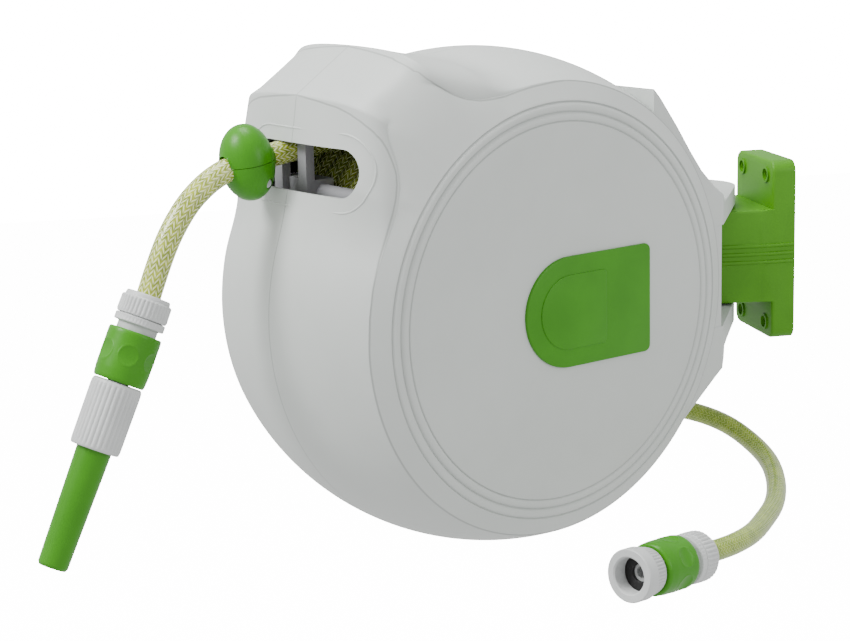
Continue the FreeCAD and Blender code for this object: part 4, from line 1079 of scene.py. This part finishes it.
thread = [(68.8 + 11.2 * k / 36, 12.1 + 1.0 * abs((k % 6) - 3) / 3) for k in range(36, 0, -1)]
ADAPTER_OUTSIDE = [(34, 4), (34, 7.4), (58.6, 7.4), (58.6, 14.8), (59.4, 15.6), (62, 16.4), (69.4, 16.8),
                   (70, 17.4), (70.6, 18.1), (79.2, 18.1), (80, 17.4)]
ADAPTER_SEAT = [(68.8, 12.05), (68.8, 12.65), (66, 12.65), (66, 4)]
turned_part("tap_adapter_threaded", ADAPTER_OUTSIDE + thread + ADAPTER_SEAT,
            INLET_AT, INLET_AIM, "housing", "tap_adapter", FITTING_GREY, tap_ribs, 352, 0.8,
            35)
WASHER = [(66, 6), (66, 12.4), (68.2, 12.4), (68.5, 12.1), (68.5, 6.3), (68.2, 6)]
turned_part("tap_washer_ring", WASHER, INLET_AT, INLET_AIM, "housing", "tap_washer", RUBBER,
            None, 64)
GLAND = [(0, 3.5), (0, 14), (0.5, 14.5), (2.6, 14.5), (3, 14), (5, 12.6), (12, 11.4), (19.2, 10.6), (20, 9.8),
         (20, 7.5), (6, 7.5), (6, 3.5)]
turned_part("inlet_gland_tapered", GLAND, Vector((-20, 148, -123.5)), Vector((0, 1, 0)), "housing",
            "inlet_gland", RUBBER, flutes(5.4, 18.5, 12, 0.6), 96, 0.8, 50)

# ---- Pieces that stay as drawn in CAD ---------------------------------------------------------------
# Gears, spool, axle, spring, seals, pins and carriage sit behind the window or inside the housing.
# They are moulded acetal and nylon, zinc-plated steel or blued spring strip.
def plain(name, colour, rough):
    skin = Finish(name)
    speck = skin.noise(300.0, 4.0)
    wear = skin.noise(25.0, 3.0)
    skin.feed("Base Color", skin.mix(wear.step(0.3, 0.72), [c * 0.8 for c in colour], colour))
    skin.feed("Roughness", rough + speck * 0.14)
    return skin.bump(speck, 0.0001, 0.4).mat


INNER = {"dark_plastic": plain("dark_nylon", (0.035, 0.035, 0.037), 0.45),
         "mid_grey_plastic": plain("grey_acetal", (0.33, 0.33, 0.35), 0.4),
         "zinc_steel": ZINC,
         "spring_steel": plated("blued_strip", (0.16, 0.17, 0.2), 0.32, 500.0),
         "black_rubber": RUBBER, "fitting_grey": FITTING_GREY, "fitting_green": GREEN_SKIN}
slots = {part["node"]: part["material_slot"] for part in frame["record"]["subparts"]}
for node, thing in frame["nodes"].items():
    if not thing.hide_render:
        thing.data.materials.clear()
        thing.data.materials.append(INNER[slots[node]])

# ---- Guide rod and end plates -----------------------------------------------------------------------
# A ground steel rod and two acetal plates that hold it and the reversing screw inside the snout.  The
# plates' upper front corners are cut back to clear the shells, and the rod ends just past the plates.
ROD_SPOT, REVERSING_SPOT = (-128, 150), (-135, 91)


def guide_piece(name, node, outline, low, high, bosses=(), holes=()):
    """Prism along the rod's axis, with round bosses added and round holes cut."""
    flat = bmesh.new()
    extruded(flat, outline, low, high, "X")
    body = placed(name, flat, Matrix.Identity(4))
    for kind, rounds, reach in (("UNION", bosses, 0), ("DIFFERENCE", holes, 1)):
        for spot, radius in rounds:
            bm = bmesh.new()
            extruded(bm, circle(*spot, radius, 40), low - reach, high + reach, "X")
            carve(body, placed("round", bm, Matrix.Identity(4)), kind)
    body.data.transform(HOUSING)
    body.data.shade_smooth()
    body.data.set_sharp_from_angle(angle=math.radians(35))
    body.data.materials.clear()
    body.data.materials.append(INNER[slots[node]])
    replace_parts(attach(body, "housing"), node)


PLATE = [(-125, 86), (-143, 86), (-143, 140), (-138, 149), (-134, 153), (-125, 153)]
for label, low in (("plain", -72), ("gear", 66)):
    guide_piece("guide_plate_%s_side" % label, "guide_end_%s_side" % label, PLATE, low, low + 4,
                ((REVERSING_SPOT, 10), (ROD_SPOT, 6.1)), ((REVERSING_SPOT, 6.1), (ROD_SPOT, 4.05)))
guide_piece("guide_rod_ground", "guide_rod", circle(*ROD_SPOT, 4, 40), -73.5, 73.5)

# ---- Floor and light --------------------------------------------------------------------------------
# A plain pale floor and soft studio lights; neither is part of the reel.
bm = bmesh.new()
extruded(bm, [(-4, -4), (4, -4), (4, 4), (-4, 4)], -0.62, -0.60)
floor = placed("studio_floor", bm, Matrix.Identity(4))
floor_skin = Finish("pale_floor", Roughness=0.9, Base_Color=(0.95, 0.95, 0.95, 1),
                    Emission_Color=(1, 1, 1, 1), Emission_Strength=14.0)
floor.data.materials.append(floor_skin.mat)
floor.visible_diffuse = floor.visible_glossy = False
world = bpy.data.worlds.new("studio")
bpy.context.scene.world = world
world.use_nodes = True
world.node_tree.nodes["Background"].inputs[0].default_value = (1, 1, 1, 1)
light_path = world.node_tree.nodes.new("ShaderNodeLightPath")
strength = world.node_tree.nodes.new("ShaderNodeMapRange")
strength.inputs["To Min"].default_value, strength.inputs["To Max"].default_value = 1.06, 20.0
world.node_tree.links.new(light_path.outputs["Is Camera Ray"], strength.inputs["Value"])
world.node_tree.links.new(strength.outputs[0], world.node_tree.nodes["Background"].inputs[1])


def softbox(name, place, power, size):
    lamp = bpy.data.lights.new(name, "AREA")
    lamp.energy, lamp.shape, lamp.size = power, "DISK", size
    holder = bpy.data.objects.new(name, lamp)
    bpy.context.scene.collection.objects.link(holder)
    holder.location = place
    holder.rotation_euler = (Vector((0.05, -0.27, 0)) - Vector(place)).to_track_quat("-Z", "Y").to_euler()


softbox("key", (0.4, -2.0, 1.5), 54, 0.8)
softbox("top", (-0.1, -0.5, 1.9), 30, 1.0)
softbox("rim", (1.3, 0.7, 0.5), 5, 0.7)
